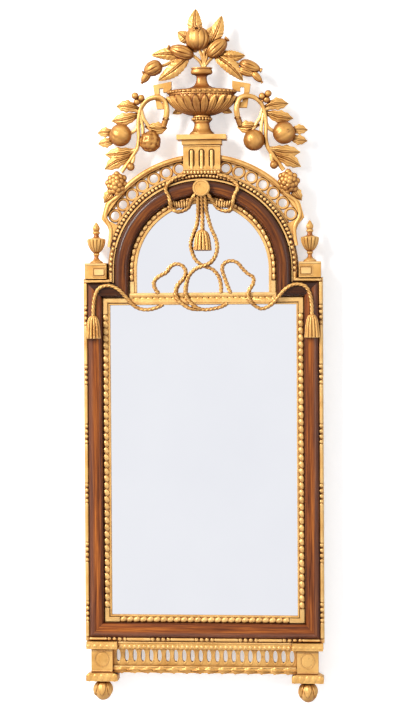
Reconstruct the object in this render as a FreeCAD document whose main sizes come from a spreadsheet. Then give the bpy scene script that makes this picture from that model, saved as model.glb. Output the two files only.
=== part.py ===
import FreeCAD, Part
import Sketcher
import math
import os
from types import SimpleNamespace

# Carved and gilt wall mirror with a mahogany frame, an arched top and a pierced crest.
# +Z is up, +X is to the right as seen from the front, and the front looks along -Y.
# The wall is the plane Y = 0. Depths are counted from it towards the front.
# The origin is the middle of the rail between the two mirror plates.

sizes = {
    # Lower frame, seen from the front
    "frame_width": 551,
    "edging_width": 9.5,
    "mahogany_width": 34.5,
    "sight_width": 17,
    "plate_height": 714,
    "bar_height": 28,
    # Arch, by radius and ring widths
    "spring_height": 66,
    "shoulder_reach": 123.5,
    "arch_edging_width": 17,
    "gallery_width": 33.5,
    "cornice_width": 11.5,
    # Depths of the layers
    "carcass_depth": 26,
    "edging_depth": 12,
    "mahogany_depth": 20,
    "sight_depth": 10,
    "bar_depth": 10,
    "carcass_inset": 1,
    "mahogany_round": 13,
    "edging_round": 3.5,
    "sight_round": 3,
    # Mirror plates, backboards and their rebates
    "glass_thickness": 4,
    "sight_overlap": 8,
    "bar_overlap": 5,
    "glass_clearance": 1,
    "board_thickness": 8,
    "board_setback": 4,
    "board_lap": 11,
    "rail_lap": 4,
    "board_clearance": 1,
    "block_length": 46,
    "block_width": 11,
    "block_depth": 8,
    # Pierced ring gallery and its cornice with ears
    "gallery_back": 12,
    "gallery_thickness": 12,
    "ring_circle": 19.5,
    "ring_hole": 9.2,
    "ring_first": 13,
    "ring_pitch": 7.5,
    "ring_count": 7,
    "gallery_end": 62,
    "cornice_back": 8,
    "cornice_depth": 24,
    "ear_start": 52,
    "ear_corner_reach": 7,
    "ear_corner_turn": 55,
    "ear_tip_drop": 4,
    "ear_tip_turn": 63,
    "ear_neck_reach": 21.5,
    "ear_neck_turn": 65,
    "ear_waist_reach": 8,
    "ear_waist_turn": 68.4,
    "ear_foot_turn": 76.4,
    # Plinth and urn on the crown of the arch
    "plinth_width": 85,
    "plinth_height": 70,
    "plinth_back": 8,
    "plinth_depth": 30,
    "flute_width": 14,
    "flute_length": 42,
    "flute_pitch": 23,
    "flute_depth": 5,
    "cap_step": 11,
    "cap_step_reach": 3,
    "cap_slab": 11,
    "cap_slab_reach": 14,
    "cap_back_reach": 6,
    "urn_axis": 25,
    "urn_flatness": 0.55,
    "urn_back": 3,
    "urn_foot_radius": 29,
    "urn_stem_radius": 18,
    "urn_foot_height": 28,
    "urn_collar_radius": 25,
    "urn_collar_height": 17,
    "urn_bowl_radius": 81,
    "urn_lip_radius": 70,
    "urn_bowl_height": 64,
    "urn_bowl_belly": 46,
    "urn_neck_radius": 14,
    "urn_neck_height": 29,
    "urn_rim_radius": 25,
    "urn_rim_height": 17,
    "handle_back": 14,
    "handle_thickness": 14,
    # Corner blocks and the small urns on them
    "corner_width": 50,
    "corner_height": 36,
    "corner_back": 6,
    "corner_depth": 36,
    "corner_gap": 0.5,
    "finial_axis": 25,
    "finial_height": 95,
    "finial_radius": 21,
    "finial_base_radius": 15,
    "finial_stem_radius": 5,
    "finial_tip_radius": 8,
    # Apron with pierced slots, foot blocks and ball feet
    "apron_height": 72,
    "apron_back": 8,
    "apron_depth": 20,
    "apron_top": 17,
    "apron_foot": 12,
    "apron_moulding": 8,
    "slot_width": 11,
    "slot_height": 30,
    "slot_margin": 4.8,
    "slot_count": 22,
    "slot_drop": 19,
    "foot_inset": 38.5,
    "foot_width": 49,
    "foot_back": 6,
    "foot_depth": 36,
    "foot_cornice_reach": 11,
    "foot_base_reach": 12,
    "foot_base_height": 19,
    "ball_radius": 24,
    "ball_neck_radius": 15,
    "ball_neck_height": 5,
    # Carved rope, its boss and tassels
    "rope_radius": 4.2,
    "boss_radius": 19.5,
    "boss_depth": 10,
    "tassel_length": 52,
    "tassel_top_radius": 9,
    "tassel_radius": 18,
    "tassel_flatness": 0.7,
    # Hanging rings on the back of the stiles
    "hanger_drop": 120,
    "recess_depth": 6,
    "recess_width": 30,
    "recess_above": 48,
    "recess_below": 40,
    "strap_width": 12,
    "strap_length": 44,
    "strap_thickness": 1.6,
    "ring_wire": 1.6,
    "ring_bar": 14,
    "ring_drop": 30,
    "ring_corner": 4,
    "ring_running_gap": 0.08,
    "knuckle_wall": 1.2,
    "screw_head_radius": 4,
    "screw_shank_radius": 1.7,
    "screw_length": 12,
    "screw_head_height": 2,
}

doc = FreeCAD.newDocument("carved_mirror")
sheet = doc.addObject("Spreadsheet::Sheet", "Sizes")
for row, (alias, value) in enumerate(sizes.items(), start=1):
    sheet.set(f"A{row}", alias)
    sheet.set(f"B{row}", str(value))
    sheet.setAlias(f"B{row}", alias)
doc.recompute()


class Size:
    # A number together with the sheet formula that gives it.
    def __init__(self, value, formula):
        self.value = value
        self.formula = formula

    def __add__(self, other):
        return Size(self.value + number(other), f"({self.formula} + {formula(other)})")

    def __sub__(self, other):
        return Size(self.value - number(other), f"({self.formula} - {formula(other)})")

    def __mul__(self, other):
        return Size(self.value * number(other), f"({self.formula} * {formula(other)})")

    def __truediv__(self, other):
        return Size(self.value / number(other), f"({self.formula} / {formula(other)})")

    def __neg__(self):
        return Size(-self.value, f"(0 - {self.formula})")

    def __radd__(self, other):
        return self + other

    def __rsub__(self, other):
        return -self + other

    def __rmul__(self, other):
        return self * other


def number(item):
    return item.value if isinstance(item, Size) else float(item)


def formula(item):
    return item.formula if isinstance(item, Size) else str(item)


def across(radius, offset):
    # Height of a circle at a sideways offset from its centre.
    value = math.sqrt(radius.value ** 2 - number(offset) ** 2)
    return Size(value, f"sqrt({radius.formula} ^ 2 - {formula(offset)} ^ 2)")


def polar(radius, turn):
    # Point on a circle, turned from straight up towards +X by an angle in degrees.
    angle = math.radians(number(turn))
    sideways = Size(radius.value * math.sin(angle), f"({radius.formula} * sin({formula(turn)}))")
    upwards = Size(radius.value * math.cos(angle), f"({radius.formula} * cos({formula(turn)}))")
    return sideways, upwards


def bind(thing, name, value):
    thing.setExpression(name, formula(value))


d = SimpleNamespace(**{alias: Size(float(sheet.get(alias)), f"Sizes.{alias}") for alias in sizes})
nodes = []


def keep(thing, label):
    # Names a finished sub-part and puts it on the list of pieces.
    thing.Label = label
    nodes.append(thing)
    return thing


def group(label, members):
    compound = doc.addObject("Part::Compound", f"{label}_group")
    compound.Links = members
    return keep(compound, label)


def new_body(name):
    return doc.addObject("PartDesign::Body", f"{name}_body")


def origin_plane(body, role):
    return next(item for item in body.Origin.OriginFeatures if item.Role == role)


def new_sketch(body, name, back, lift=0, aside=0):
    # A sketch that faces the front, at a depth from the wall, with its own origin moved up or aside.
    sketch = body.newObject("Sketcher::SketchObject", name)
    sketch.AttachmentSupport = [(origin_plane(body, "XZ_Plane"), "")]
    sketch.MapMode = "FlatFace"
    bind(sketch, "AttachmentOffset.Base.x", aside)
    bind(sketch, "AttachmentOffset.Base.y", lift)
    bind(sketch, "AttachmentOffset.Base.z", back)
    return sketch


def arc_through(start, end, radius, turn):
    # Short arc from start to end: turn is 1 for anticlockwise and -1 for clockwise.
    chord = end - start
    rise = math.sqrt(max(radius ** 2 - chord.Length ** 2 / 4, 0))
    side = FreeCAD.Vector(-chord.y, chord.x, 0).normalize() * turn
    centre = (start + end) / 2 + side * rise
    first = math.atan2(start.y - centre.y, start.x - centre.x)
    last = math.atan2(end.y - centre.y, end.x - centre.x)
    if turn < 0:
        first, last = last, first
    if last < first:
        last += 2 * math.pi
    return Part.ArcOfCircle(Part.Circle(centre, FreeCAD.Vector(0, 0, 1), radius), first, last)


def fix_vertex(sketch, edge, vertex, across_size, up_size):
    # Holds one corner at its two distances from the sketch origin.
    for kind, axis, value in (("DistanceX", -2, across_size), ("DistanceY", -1, up_size)):
        if abs(number(value)) < 1e-6:
            sketch.addConstraint(Sketcher.Constraint("PointOnObject", edge, vertex, axis))
            continue
        place = sketch.addConstraint(
            Sketcher.Constraint(kind, -1, 1, edge, vertex, number(value)))
        bind(sketch, f"Constraints[{place}]", value)


def draw(sketch, corners):
    # Closed outline. A corner is (x, z), or (x, z, radius, turn) where an arc arrives at it.
    points = [FreeCAD.Vector(number(corner[0]), number(corner[1]), 0) for corner in corners]
    edges = []
    for index, corner in enumerate(corners):
        start, end = points[index - 1], points[index]
        if len(corner) == 2:
            edge = sketch.addGeometry(Part.LineSegment(start, end), False)
            edges.append((edge, 1, 2))
        else:
            radius, turn = corner[2], corner[3]
            edge = sketch.addGeometry(arc_through(start, end, number(radius), turn), False)
            edges.append((edge, 1, 2) if turn > 0 else (edge, 2, 1))
            place = sketch.addConstraint(Sketcher.Constraint("Radius", edge, number(radius)))
            bind(sketch, f"Constraints[{place}]", radius)
    for index, corner in enumerate(corners):
        edge, start, end = edges[index]
        following, next_start, _ = edges[(index + 1) % len(edges)]
        sketch.addConstraint(Sketcher.Constraint("Coincident", edge, end, following, next_start))
        fix_vertex(sketch, edge, end, corner[0], corner[1])


def mirrored(corners):
    # The same outline on the other side of the centre line, walked the same way round.
    flipped = []
    for index in range(len(corners) - 1, -1, -1):
        corner = corners[index]
        arriving = corners[(index + 1) % len(corners)]
        flipped.append((-1 * corner[0], corner[1]) + tuple(arriving[2:]))
    return flipped


def pad(body, name, corners, back, thickness, lift=0):
    # A plate of the given outline that stands forward from its back depth.
    sketch = new_sketch(body, f"{name}_outline", back, lift)
    draw(sketch, corners)
    plate = body.newObject("PartDesign::Pad", f"{name}_plate")
    plate.Profile = sketch
    bind(plate, "Length", thickness)
    return plate


def round_front(body, name, plate, corners, back, thickness, radius, ends):
    # Rounds the long front edges of a plate and leaves the edges of its ends sharp.
    doc.recompute()
    front = -number(back + thickness)
    spots = [FreeCAD.Vector(number(c[0]), front, number(c[1])) for c in corners]
    long_edges = []
    for index in range(len(corners)):
        if index not in ends:
            long_edges.append((spots[index - 1], spots[index]))
    chosen = []
    for place, edge in enumerate(plate.Shape.Edges, start=1):
        tips = [vertex.Point for vertex in edge.Vertexes]
        for start, end in long_edges:
            if len(tips) == 2 and same_ends(tips, start, end):
                chosen.append(f"Edge{place}")
    fillet = body.newObject("PartDesign::Fillet", f"{name}_round")
    fillet.Base = (plate, chosen)
    bind(fillet, "Radius", radius)


def same_ends(tips, start, end):
    near = 1e-4
    straight = tips[0].distanceToPoint(start) < near and tips[1].distanceToPoint(end) < near
    turned = tips[1].distanceToPoint(start) < near and tips[0].distanceToPoint(end) < near
    return straight or turned


def moulding(name, corners, thickness, radius, ends, back=None):
    # A mitred length of moulding on the front of the carcass.
    body = new_body(name)
    seat = d.carcass_depth if back is None else back
    plate = pad(body, name, corners, seat, thickness)
    round_front(body, name, plate, corners, seat, thickness, radius, ends)
    return body


def pair(name, corners, thickness, radius, ends, back=None):
    # The same moulding on the right and, mirrored, on the left.
    count = len(corners)
    flipped_ends = {(count - end) % count for end in ends}
    right = moulding(f"{name}_right", corners, thickness, radius, ends, back)
    left = moulding(f"{name}_left", mirrored(corners), thickness, radius, flipped_ends, back)
    return left, right


# Lines of the lower frame, from the outside in
half_width = d.frame_width / 2
mahogany_x = half_width - d.edging_width
sight_x = mahogany_x - d.mahogany_width
glass_x = sight_x - d.sight_width
bar_top = d.bar_height / 2
bar_bottom = -bar_top
glass_bottom = bar_bottom - d.plate_height
sight_bottom = glass_bottom - d.sight_width
mahogany_bottom = sight_bottom - d.mahogany_width
frame_bottom = mahogany_bottom - d.edging_width
sight_top = bar_bottom + d.sight_width
mahogany_top = sight_top + d.mahogany_width
shoulder_top = mahogany_top + d.edging_width

# Rings of the arch, from the inside out
arch_opening = half_width - d.shoulder_reach
arch_sight = arch_opening + d.sight_width
arch_mahogany = arch_sight + d.mahogany_width
arch_edging = arch_mahogany + d.arch_edging_width
arch_gallery = arch_edging + d.gallery_width
arch_cornice = arch_gallery + d.cornice_width
leg_edging = arch_mahogany + d.edging_width
spring = d.spring_height


def arch_band(inner, outer, inner_foot, outer_foot):
    # Right half of an arch ring with straight legs down to its feet.
    return [
        (inner, inner_foot),
        (outer, outer_foot),
        (outer, spring),
        (0, spring + outer, outer, 1),
        (0, spring + inner),
        (inner, spring, inner, -1),
    ]


# Sight mouldings round the lower plate and the arched plate
sight_left, sight_right = pair("sight", [
    (glass_x, glass_bottom),
    (sight_x, sight_bottom),
    (sight_x, sight_top),
    (glass_x, bar_bottom),
], d.sight_depth, d.sight_round, {1, 3})
keep(sight_left, "sight_left")
keep(sight_right, "sight_right")
keep(moulding("sight_bottom", [
    (-glass_x, glass_bottom),
    (-sight_x, sight_bottom),
    (sight_x, sight_bottom),
    (glass_x, glass_bottom),
], d.sight_depth, d.sight_round, {1, 3}), "sight_bottom")
group("sight_top_returns", list(pair("sight_return", [
    (arch_sight, bar_bottom),
    (glass_x, bar_bottom),
    (sight_x, sight_top),
    (arch_sight, sight_top),
], d.sight_depth, d.sight_round, {0, 2})))
arch_sight_left, arch_sight_right = pair(
    "arch_sight", arch_band(arch_opening, arch_sight, bar_top, bar_top),
    d.sight_depth, d.sight_round, {1, 4})
keep(arch_sight_left, "sight_arch_left")
keep(arch_sight_right, "sight_arch_right")
bar = keep(moulding("crossbar", [
    (-arch_sight, bar_bottom),
    (arch_sight, bar_bottom),
    (arch_sight, bar_top),
    (-arch_sight, bar_top),
], d.bar_depth, d.sight_round, {0, 2}), "crossbar")

# Mahogany cushion mouldings
mahogany_left, mahogany_right = pair("mahogany", [
    (sight_x, sight_bottom),
    (mahogany_x, mahogany_bottom),
    (mahogany_x, mahogany_top),
    (sight_x, sight_top),
], d.mahogany_depth, d.mahogany_round, {1, 3})
keep(mahogany_left, "mahogany_left")
keep(mahogany_right, "mahogany_right")
keep(moulding("mahogany_bottom", [
    (-sight_x, sight_bottom),
    (-mahogany_x, mahogany_bottom),
    (mahogany_x, mahogany_bottom),
    (sight_x, sight_bottom),
], d.mahogany_depth, d.mahogany_round, {1, 3}), "mahogany_bottom")
mahogany_shoulders = group("mahogany_shoulders", list(pair("mahogany_shoulder", [
    (arch_sight, sight_top),
    (sight_x, sight_top),
    (mahogany_x, mahogany_top),
    (arch_mahogany, mahogany_top),
], d.mahogany_depth, d.mahogany_round, {0, 2})))
mahogany_arch_left, mahogany_arch_right = pair(
    "mahogany_arch", arch_band(arch_sight, arch_mahogany, sight_top, mahogany_top),
    d.mahogany_depth, d.mahogany_round, {1, 4})
keep(mahogany_arch_left, "mahogany_arch_left")
keep(mahogany_arch_right, "mahogany_arch_right")

# Gilt edging round the outside
edging_left, edging_right = pair("edging", [
    (mahogany_x, mahogany_bottom),
    (half_width, frame_bottom),
    (half_width, shoulder_top),
    (mahogany_x, mahogany_top),
], d.edging_depth, d.edging_round, {1, 3})
keep(edging_left, "edging_left")
keep(edging_right, "edging_right")
keep(moulding("edging_bottom", [
    (-mahogany_x, mahogany_bottom),
    (-half_width, frame_bottom),
    (half_width, frame_bottom),
    (mahogany_x, mahogany_bottom),
], d.edging_depth, d.edging_round, {1, 3}), "edging_bottom")
group("edging_shoulders", list(pair("edging_shoulder", [
    (arch_mahogany, mahogany_top),
    (mahogany_x, mahogany_top),
    (half_width, shoulder_top),
    (leg_edging, shoulder_top),
    (leg_edging, spring),
    (arch_mahogany, spring),
], d.edging_depth, d.edging_round, {2, 5, 0})))
edging_arch_left, edging_arch_right = pair("edging_arch", [
    (arch_mahogany, spring),
    (arch_edging, spring),
    (0, spring + arch_edging, arch_edging, 1),
    (0, spring + arch_mahogany),
    (arch_mahogany, spring, arch_mahogany, -1),
][1:], d.edging_depth, d.edging_round, {0, 2})
keep(edging_arch_left, "edging_arch_left")
keep(edging_arch_right, "edging_arch_right")

# Pine carcass: the front layer holds the plates, the back layer is cut wider for the boards
open_x = glass_x + d.sight_overlap + d.glass_clearance
open_bottom = glass_bottom - d.sight_overlap - d.glass_clearance
open_arch = arch_opening + d.sight_overlap + d.glass_clearance
rail_half = bar_top - d.bar_overlap - d.glass_clearance
board_x = open_x + d.board_lap
board_bottom = open_bottom - d.board_lap
board_arch = open_arch + d.board_lap
rail_back_half = rail_half - d.rail_lap
carcass_x = half_width - d.carcass_inset
carcass_top = shoulder_top - d.carcass_inset
carcass_bottom = frame_bottom + d.carcass_inset
carcass_arch = arch_edging - d.carcass_inset
step_depth = d.board_setback + d.board_thickness
front_layer = d.carcass_depth - step_depth


def two_layers(name, back_corners, front_corners):
    body = new_body(name)
    pad(body, f"{name}_back", back_corners, Size(0, "0"), step_depth)
    pad(body, f"{name}_front", front_corners, step_depth, front_layer)
    return body


def stile_front():
    return [
        (open_x, carcass_bottom),
        (carcass_x, carcass_bottom),
        (carcass_x, carcass_top),
        (open_x, carcass_top),
    ]


def stile_back():
    # The back layer steps in above the lower board, where the rail meets the stile.
    return [
        (board_x, carcass_bottom),
        (carcass_x, carcass_bottom),
        (carcass_x, carcass_top),
        (open_x, carcass_top),
        (open_x, -rail_back_half),
        (board_x, -rail_back_half),
    ]


def cut_pocket(body, name, corners, face, depth, lift=0, inwards=True):
    # A blind recess, cut from a face towards the front or towards the wall.
    sketch = new_sketch(body, f"{name}_outline", face, lift)
    draw(sketch, corners)
    pocket = body.newObject("PartDesign::Pocket", f"{name}_pocket")
    pocket.Profile = sketch
    pocket.Reversed = not inwards
    bind(pocket, "Length", depth)
    return pocket


# Hanging gear on the back of the stiles
hanger_x = (board_x + carcass_x) / 2
hanger_z = -d.hanger_drop
knuckle_radius = d.ring_wire + d.ring_running_gap + d.knuckle_wall
hinge_depth = d.recess_depth - knuckle_radius
recess = [
    (hanger_x - d.recess_width / 2, hanger_z - d.recess_below),
    (hanger_x + d.recess_width / 2, hanger_z - d.recess_below),
    (hanger_x + d.recess_width / 2, hanger_z + d.recess_above),
    (hanger_x - d.recess_width / 2, hanger_z + d.recess_above),
]
wall_plane = Size(0, "0")

for side, flip in (("left", mirrored), ("right", list)):
    stile = two_layers(f"stile_{side}", flip(stile_back()), flip(stile_front()))
    cut_pocket(stile, f"recess_{side}", flip(recess), wall_plane, d.recess_depth, inwards=False)
    keep(stile, f"carcass_stile_{side}")
keep(two_layers("bottom_rail", [
    (-board_x, carcass_bottom),
    (board_x, carcass_bottom),
    (board_x, board_bottom),
    (-board_x, board_bottom),
], [
    (-open_x, carcass_bottom),
    (open_x, carcass_bottom),
    (open_x, open_bottom),
    (-open_x, open_bottom),
]), "carcass_bottom_rail")
keep(two_layers("middle_rail", [
    (-open_x, -rail_back_half),
    (open_x, -rail_back_half),
    (open_x, rail_back_half),
    (-open_x, rail_back_half),
], [
    (-open_x, -rail_half),
    (open_x, -rail_half),
    (open_x, rail_half),
    (-open_x, rail_half),
]), "carcass_middle_rail")


def carcass_half_arch(inner, foot):
    return [
        (inner, foot),
        (open_x, foot),
        (open_x, carcass_top),
        (carcass_arch, carcass_top),
        (carcass_arch, spring),
        (0, spring + carcass_arch, carcass_arch, 1),
        (0, spring + inner),
        (inner, spring, inner, -1),
    ]


for side, flip in (("left", mirrored), ("right", list)):
    keep(two_layers(
        f"carcass_arch_{side}",
        flip(carcass_half_arch(board_arch, rail_back_half)),
        flip(carcass_half_arch(open_arch, rail_half))), f"carcass_arch_{side}")


def plate_piece(name, corners, back, thickness, lift=0):
    body = new_body(name)
    pad(body, name, corners, back, thickness, lift)
    return keep(body, name)


def rectangle(half, bottom, top):
    return [(-half, bottom), (half, bottom), (half, top), (-half, top)]


def arched(radius, bottom):
    return [
        (-radius, bottom),
        (radius, bottom),
        (radius, spring),
        (0, spring + radius, radius, 1),
        (-radius, spring, radius, 1),
    ]


# Mirror plates, the blocks that wedge them and the boards that close the back
glass_back = d.carcass_depth - d.glass_thickness
plate_piece("lower_mirror_plate", rectangle(
    open_x - d.glass_clearance, open_bottom + d.glass_clearance, -rail_half - d.glass_clearance),
    glass_back, d.glass_thickness)
plate_piece("upper_mirror_plate", arched(
    open_arch - d.glass_clearance, rail_half + d.glass_clearance), glass_back, d.glass_thickness)
plate_piece("lower_backboard", rectangle(
    board_x - d.board_clearance, board_bottom + d.board_clearance,
    -rail_back_half - d.board_clearance), d.board_setback, d.board_thickness)
plate_piece("upper_backboard", arched(
    board_arch - d.board_clearance, rail_back_half + d.board_clearance),
    d.board_setback, d.board_thickness)


def glass_block(name, left, low):
    block = doc.addObject("Part::Box", name)
    bind(block, "Length", d.block_width)
    bind(block, "Width", d.block_depth)
    bind(block, "Height", d.block_length)
    bind(block, "Placement.Base.x", left)
    bind(block, "Placement.Base.y", -glass_back)
    bind(block, "Placement.Base.z", low)
    return block


blocks = []
block_rows = 4
for side in (-1, 1):
    stile_face = side * open_x - (d.block_width if side > 0 else 0)
    leg_face = side * open_arch - (d.block_width if side > 0 else 0)
    blocks.append(glass_block("arch_block", leg_face, rail_half + d.glass_clearance))
    for row in range(block_rows):
        low = open_bottom + d.plate_height * (row + 0.5) / block_rows - d.block_length / 2
        blocks.append(glass_block("stile_block", stile_face, low))
group("glass_blocks", blocks)

# Ring gallery: a pierced band on the arch, cut by a row of round holes
plinth_half = d.plinth_width / 2
ring_radius = arch_edging + d.ring_circle
for side, flip in (("left", mirrored), ("right", list)):
    name = f"ring_gallery_{side}"
    body = new_body(name)
    pad(body, name, flip([
        (plinth_half, across(arch_edging, plinth_half)),
        (*polar(arch_edging, d.gallery_end), arch_edging, -1),
        polar(arch_gallery, d.gallery_end),
        (plinth_half, across(arch_gallery, plinth_half), arch_gallery, 1),
    ]), d.gallery_back, d.gallery_thickness, spring)
    hole = new_sketch(body, f"{name}_hole", d.gallery_back, spring)
    sideways, upwards = polar(ring_radius, d.ring_first)
    sideways = sideways if side == "right" else -sideways
    place = FreeCAD.Vector(number(sideways), number(upwards), 0)
    circle = hole.addGeometry(Part.Circle(place, FreeCAD.Vector(0, 0, 1), d.ring_hole.value), False)
    fix_vertex(hole, circle, 3, sideways, upwards)
    radius = hole.addConstraint(Sketcher.Constraint("Radius", circle, d.ring_hole.value))
    bind(hole, f"Constraints[{radius}]", d.ring_hole)
    drill = body.newObject("PartDesign::Pocket", f"{name}_drill")
    drill.Profile = hole
    drill.Reversed = True
    bind(drill, "Length", d.gallery_thickness)
    row = body.newObject("PartDesign::PolarPattern", f"{name}_holes")
    row.Originals = [drill]
    row.Axis = (hole, ["N_Axis"])
    row.Reversed = side == "right"
    bind(row, "Angle", d.ring_pitch * (d.ring_count - 1))
    bind(row, "Occurrences", d.ring_count)
    body.Tip = row
    keep(body, name)

# Cornice over the gallery, ending in an ear
for side, flip in (("left", mirrored), ("right", list)):
    plate_piece(f"gallery_cornice_{side}", flip([
        (plinth_half, across(arch_gallery, plinth_half), arch_gallery, 1),
        (plinth_half, across(arch_cornice, plinth_half)),
        (*polar(arch_cornice, d.ear_start), arch_cornice, -1),
        polar(arch_cornice + d.ear_corner_reach, d.ear_corner_turn),
        polar(arch_cornice - d.ear_tip_drop, d.ear_tip_turn),
        polar(arch_edging + d.ear_neck_reach, d.ear_neck_turn),
        polar(arch_edging + d.ear_waist_reach, d.ear_waist_turn),
        polar(arch_edging, d.ear_foot_turn),
        (*polar(arch_edging, d.gallery_end), arch_edging, 1),
        polar(arch_gallery, d.gallery_end),
    ]), d.cornice_back, d.cornice_depth, spring)


def slot(low, width, height):
    # Upright slot with round ends about the centre line.
    end = width / 2
    top = low + height
    return [
        (end, low + end, end, 1),
        (end, top - end),
        (0, top, end, 1),
        (-end, top - end, end, 1),
        (-end, low + end),
        (0, low, end, 1),
    ]


def row_of_slots(body, name, corners, face, depth, pitch, count, inwards):
    # A pocket repeated along X on both sides of the middle.
    sketch = new_sketch(body, f"{name}_outline", face, 0, -pitch * (count - 1) / 2)
    draw(sketch, corners)
    pocket = body.newObject("PartDesign::Pocket", f"{name}_pocket")
    pocket.Profile = sketch
    pocket.Reversed = not inwards
    bind(pocket, "Length", depth)
    pattern = body.newObject("PartDesign::LinearPattern", f"{name}_row")
    pattern.Originals = [pocket]
    pattern.Direction = (sketch, ["H_Axis"])
    bind(pattern, "Length", pitch * (count - 1))
    bind(pattern, "Occurrences", count if isinstance(count, Size) else Size(count, str(count)))
    body.Tip = pattern


# Plinth block on the crown of the arch, with three flutes, and its cap
plinth_foot = spring + across(arch_edging, plinth_half)
plinth_top = plinth_foot + d.plinth_height
plinth_front = d.plinth_back + d.plinth_depth
plinth_flutes = 3
plinth = new_body("plinth_block")
pad(plinth, "plinth_block", [
    (-plinth_half, plinth_foot),
    (plinth_half, plinth_foot, arch_edging, -1),
    (plinth_half, plinth_top),
    (-plinth_half, plinth_top),
], d.plinth_back, d.plinth_depth)
flute_low = plinth_top - d.flute_length - d.flute_depth * 2
row_of_slots(plinth, "flute", slot(flute_low, d.flute_width, d.flute_length),
             plinth_front, d.flute_depth, d.flute_pitch, plinth_flutes, True)
keep(plinth, "plinth_block")
cap_middle = plinth_top + d.cap_step
cap_top = cap_middle + d.cap_slab
cap = new_body("plinth_cap")
pad(cap, "cap_step", rectangle(plinth_half + d.cap_step_reach, plinth_top, cap_middle),
    d.plinth_back, d.plinth_depth + d.cap_step_reach)
pad(cap, "cap_slab", rectangle(plinth_half + d.cap_slab_reach, cap_middle, cap_top),
    d.plinth_back - d.cap_back_reach, d.plinth_depth + d.cap_back_reach + d.cap_slab_reach)
keep(cap, "plinth_cap")


def numeric(corners):
    # The same corner notation as a plain wire in the front plane, for carved and turned forms.
    points = [FreeCAD.Vector(number(corner[0]), number(corner[1]), 0) for corner in corners]
    edges = []
    for index, corner in enumerate(corners):
        start, end = points[index - 1], points[index]
        if len(corner) == 2:
            edges.append(Part.makeLine(start, end))
        else:
            edges.append(arc_through(start, end, number(corner[2]), corner[3]).toShape())
    wire = Part.Wire(edges)
    wire.rotate(FreeCAD.Vector(0, 0, 0), FreeCAD.Vector(1, 0, 0), 90)
    return wire


def turned(corners, flatness, x, depth, z):
    # A profile turned about an upright axis and pressed flatter from front to back.
    face = Part.Face(numeric(corners))
    solid = face.revolve(FreeCAD.Vector(0, 0, 0), FreeCAD.Vector(0, 0, 1), 360)
    press = FreeCAD.Matrix()
    press.scale(1, number(flatness), 1)
    solid = solid.transformGeometry(press)
    solid.translate(FreeCAD.Vector(number(x), -number(depth), number(z)))
    return solid


def carved(label, shape):
    # A piece whose form is carved freehand.
    piece = doc.addObject("Part::Feature", f"{label}_carving")
    piece.Shape = shape
    piece.Placement = FreeCAD.Placement()
    return keep(piece, label)


def behind(depth):
    # Everything between the wall side and a depth, as a block to cut away.
    reach = number(d.frame_width)
    corner = FreeCAD.Vector(-reach, -number(depth), -number(d.plate_height) * 2)
    return Part.makeBox(2 * reach, reach, number(d.plate_height) * 4, corner)


# Urn: a turned foot with a bead collar, and a bowl with its neck and rim
collar_low = d.urn_foot_height
bowl_low = collar_low + d.urn_collar_height
collar_bevel = d.urn_collar_height / 4
urn_foot = turned([
    (0, 0),
    (d.urn_foot_radius, 0),
    (d.urn_foot_radius, collar_bevel),
    (d.urn_stem_radius, collar_low * 0.75, collar_low, -1),
    (d.urn_stem_radius, collar_low),
    (d.urn_collar_radius, collar_low + collar_bevel),
    (d.urn_collar_radius, bowl_low - collar_bevel),
    (d.urn_stem_radius, bowl_low),
    (0, bowl_low),
], d.urn_flatness * 1.3, 0, d.urn_axis, cap_top)
carved("urn_foot", urn_foot.cut(behind(d.urn_back)))
neck_low = d.urn_bowl_height
rim_low = neck_low + d.urn_neck_height
rim_top = rim_low + d.urn_rim_height
rim_bevel = d.urn_rim_height / 3
bowl_z = cap_top + bowl_low
urn_bowl = turned([
    (0, 0),
    (d.urn_collar_radius, 0),
    (d.urn_bowl_radius, d.urn_bowl_belly, d.urn_bowl_radius, 1),
    (d.urn_lip_radius, d.urn_bowl_height),
    (d.urn_neck_radius * 1.6, neck_low),
    (d.urn_neck_radius, neck_low + d.urn_neck_height * 0.4, d.urn_neck_height, -1),
    (d.urn_neck_radius, rim_low),
    (d.urn_rim_radius, rim_low + rim_bevel),
    (d.urn_rim_radius, rim_top - rim_bevel),
    (d.urn_rim_radius * 0.8, rim_top),
    (0, rim_top),
], d.urn_flatness, 0, d.urn_axis, bowl_z)
urn_bowl = carved("urn_bowl", urn_bowl.cut(behind(d.urn_back)))
rim_z = bowl_z + rim_top

# Key-pattern handles, let into the sides of the bowl
lip_z = bowl_z + d.urn_bowl_height
handle_key = [
    (d.urn_lip_radius, lip_z - 8),
    (d.urn_lip_radius + 18.5, lip_z - 10),
    (d.urn_lip_radius + 18.5, lip_z),
    (d.urn_lip_radius + 27.5, lip_z),
    (d.urn_lip_radius + 27.5, lip_z - 10),
    (d.urn_lip_radius + 23, lip_z - 34),
    (d.urn_lip_radius + 15, lip_z - 34),
    (d.urn_lip_radius + 15, lip_z - 47),
    (d.urn_lip_radius + 33.5, lip_z - 47),
    (d.urn_lip_radius + 42, lip_z + 7),
    (d.urn_lip_radius, lip_z + 15),
]
for side, flip in (("left", mirrored), ("right", list)):
    blank = new_body(f"handle_{side}")
    pad(blank, f"handle_{side}", flip(handle_key), d.handle_back, d.handle_thickness)
    handle = doc.addObject("Part::Cut", f"handle_{side}_fitted")
    handle.Base = blank
    handle.Tool = urn_bowl
    keep(handle, f"urn_handle_{side}")

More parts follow.
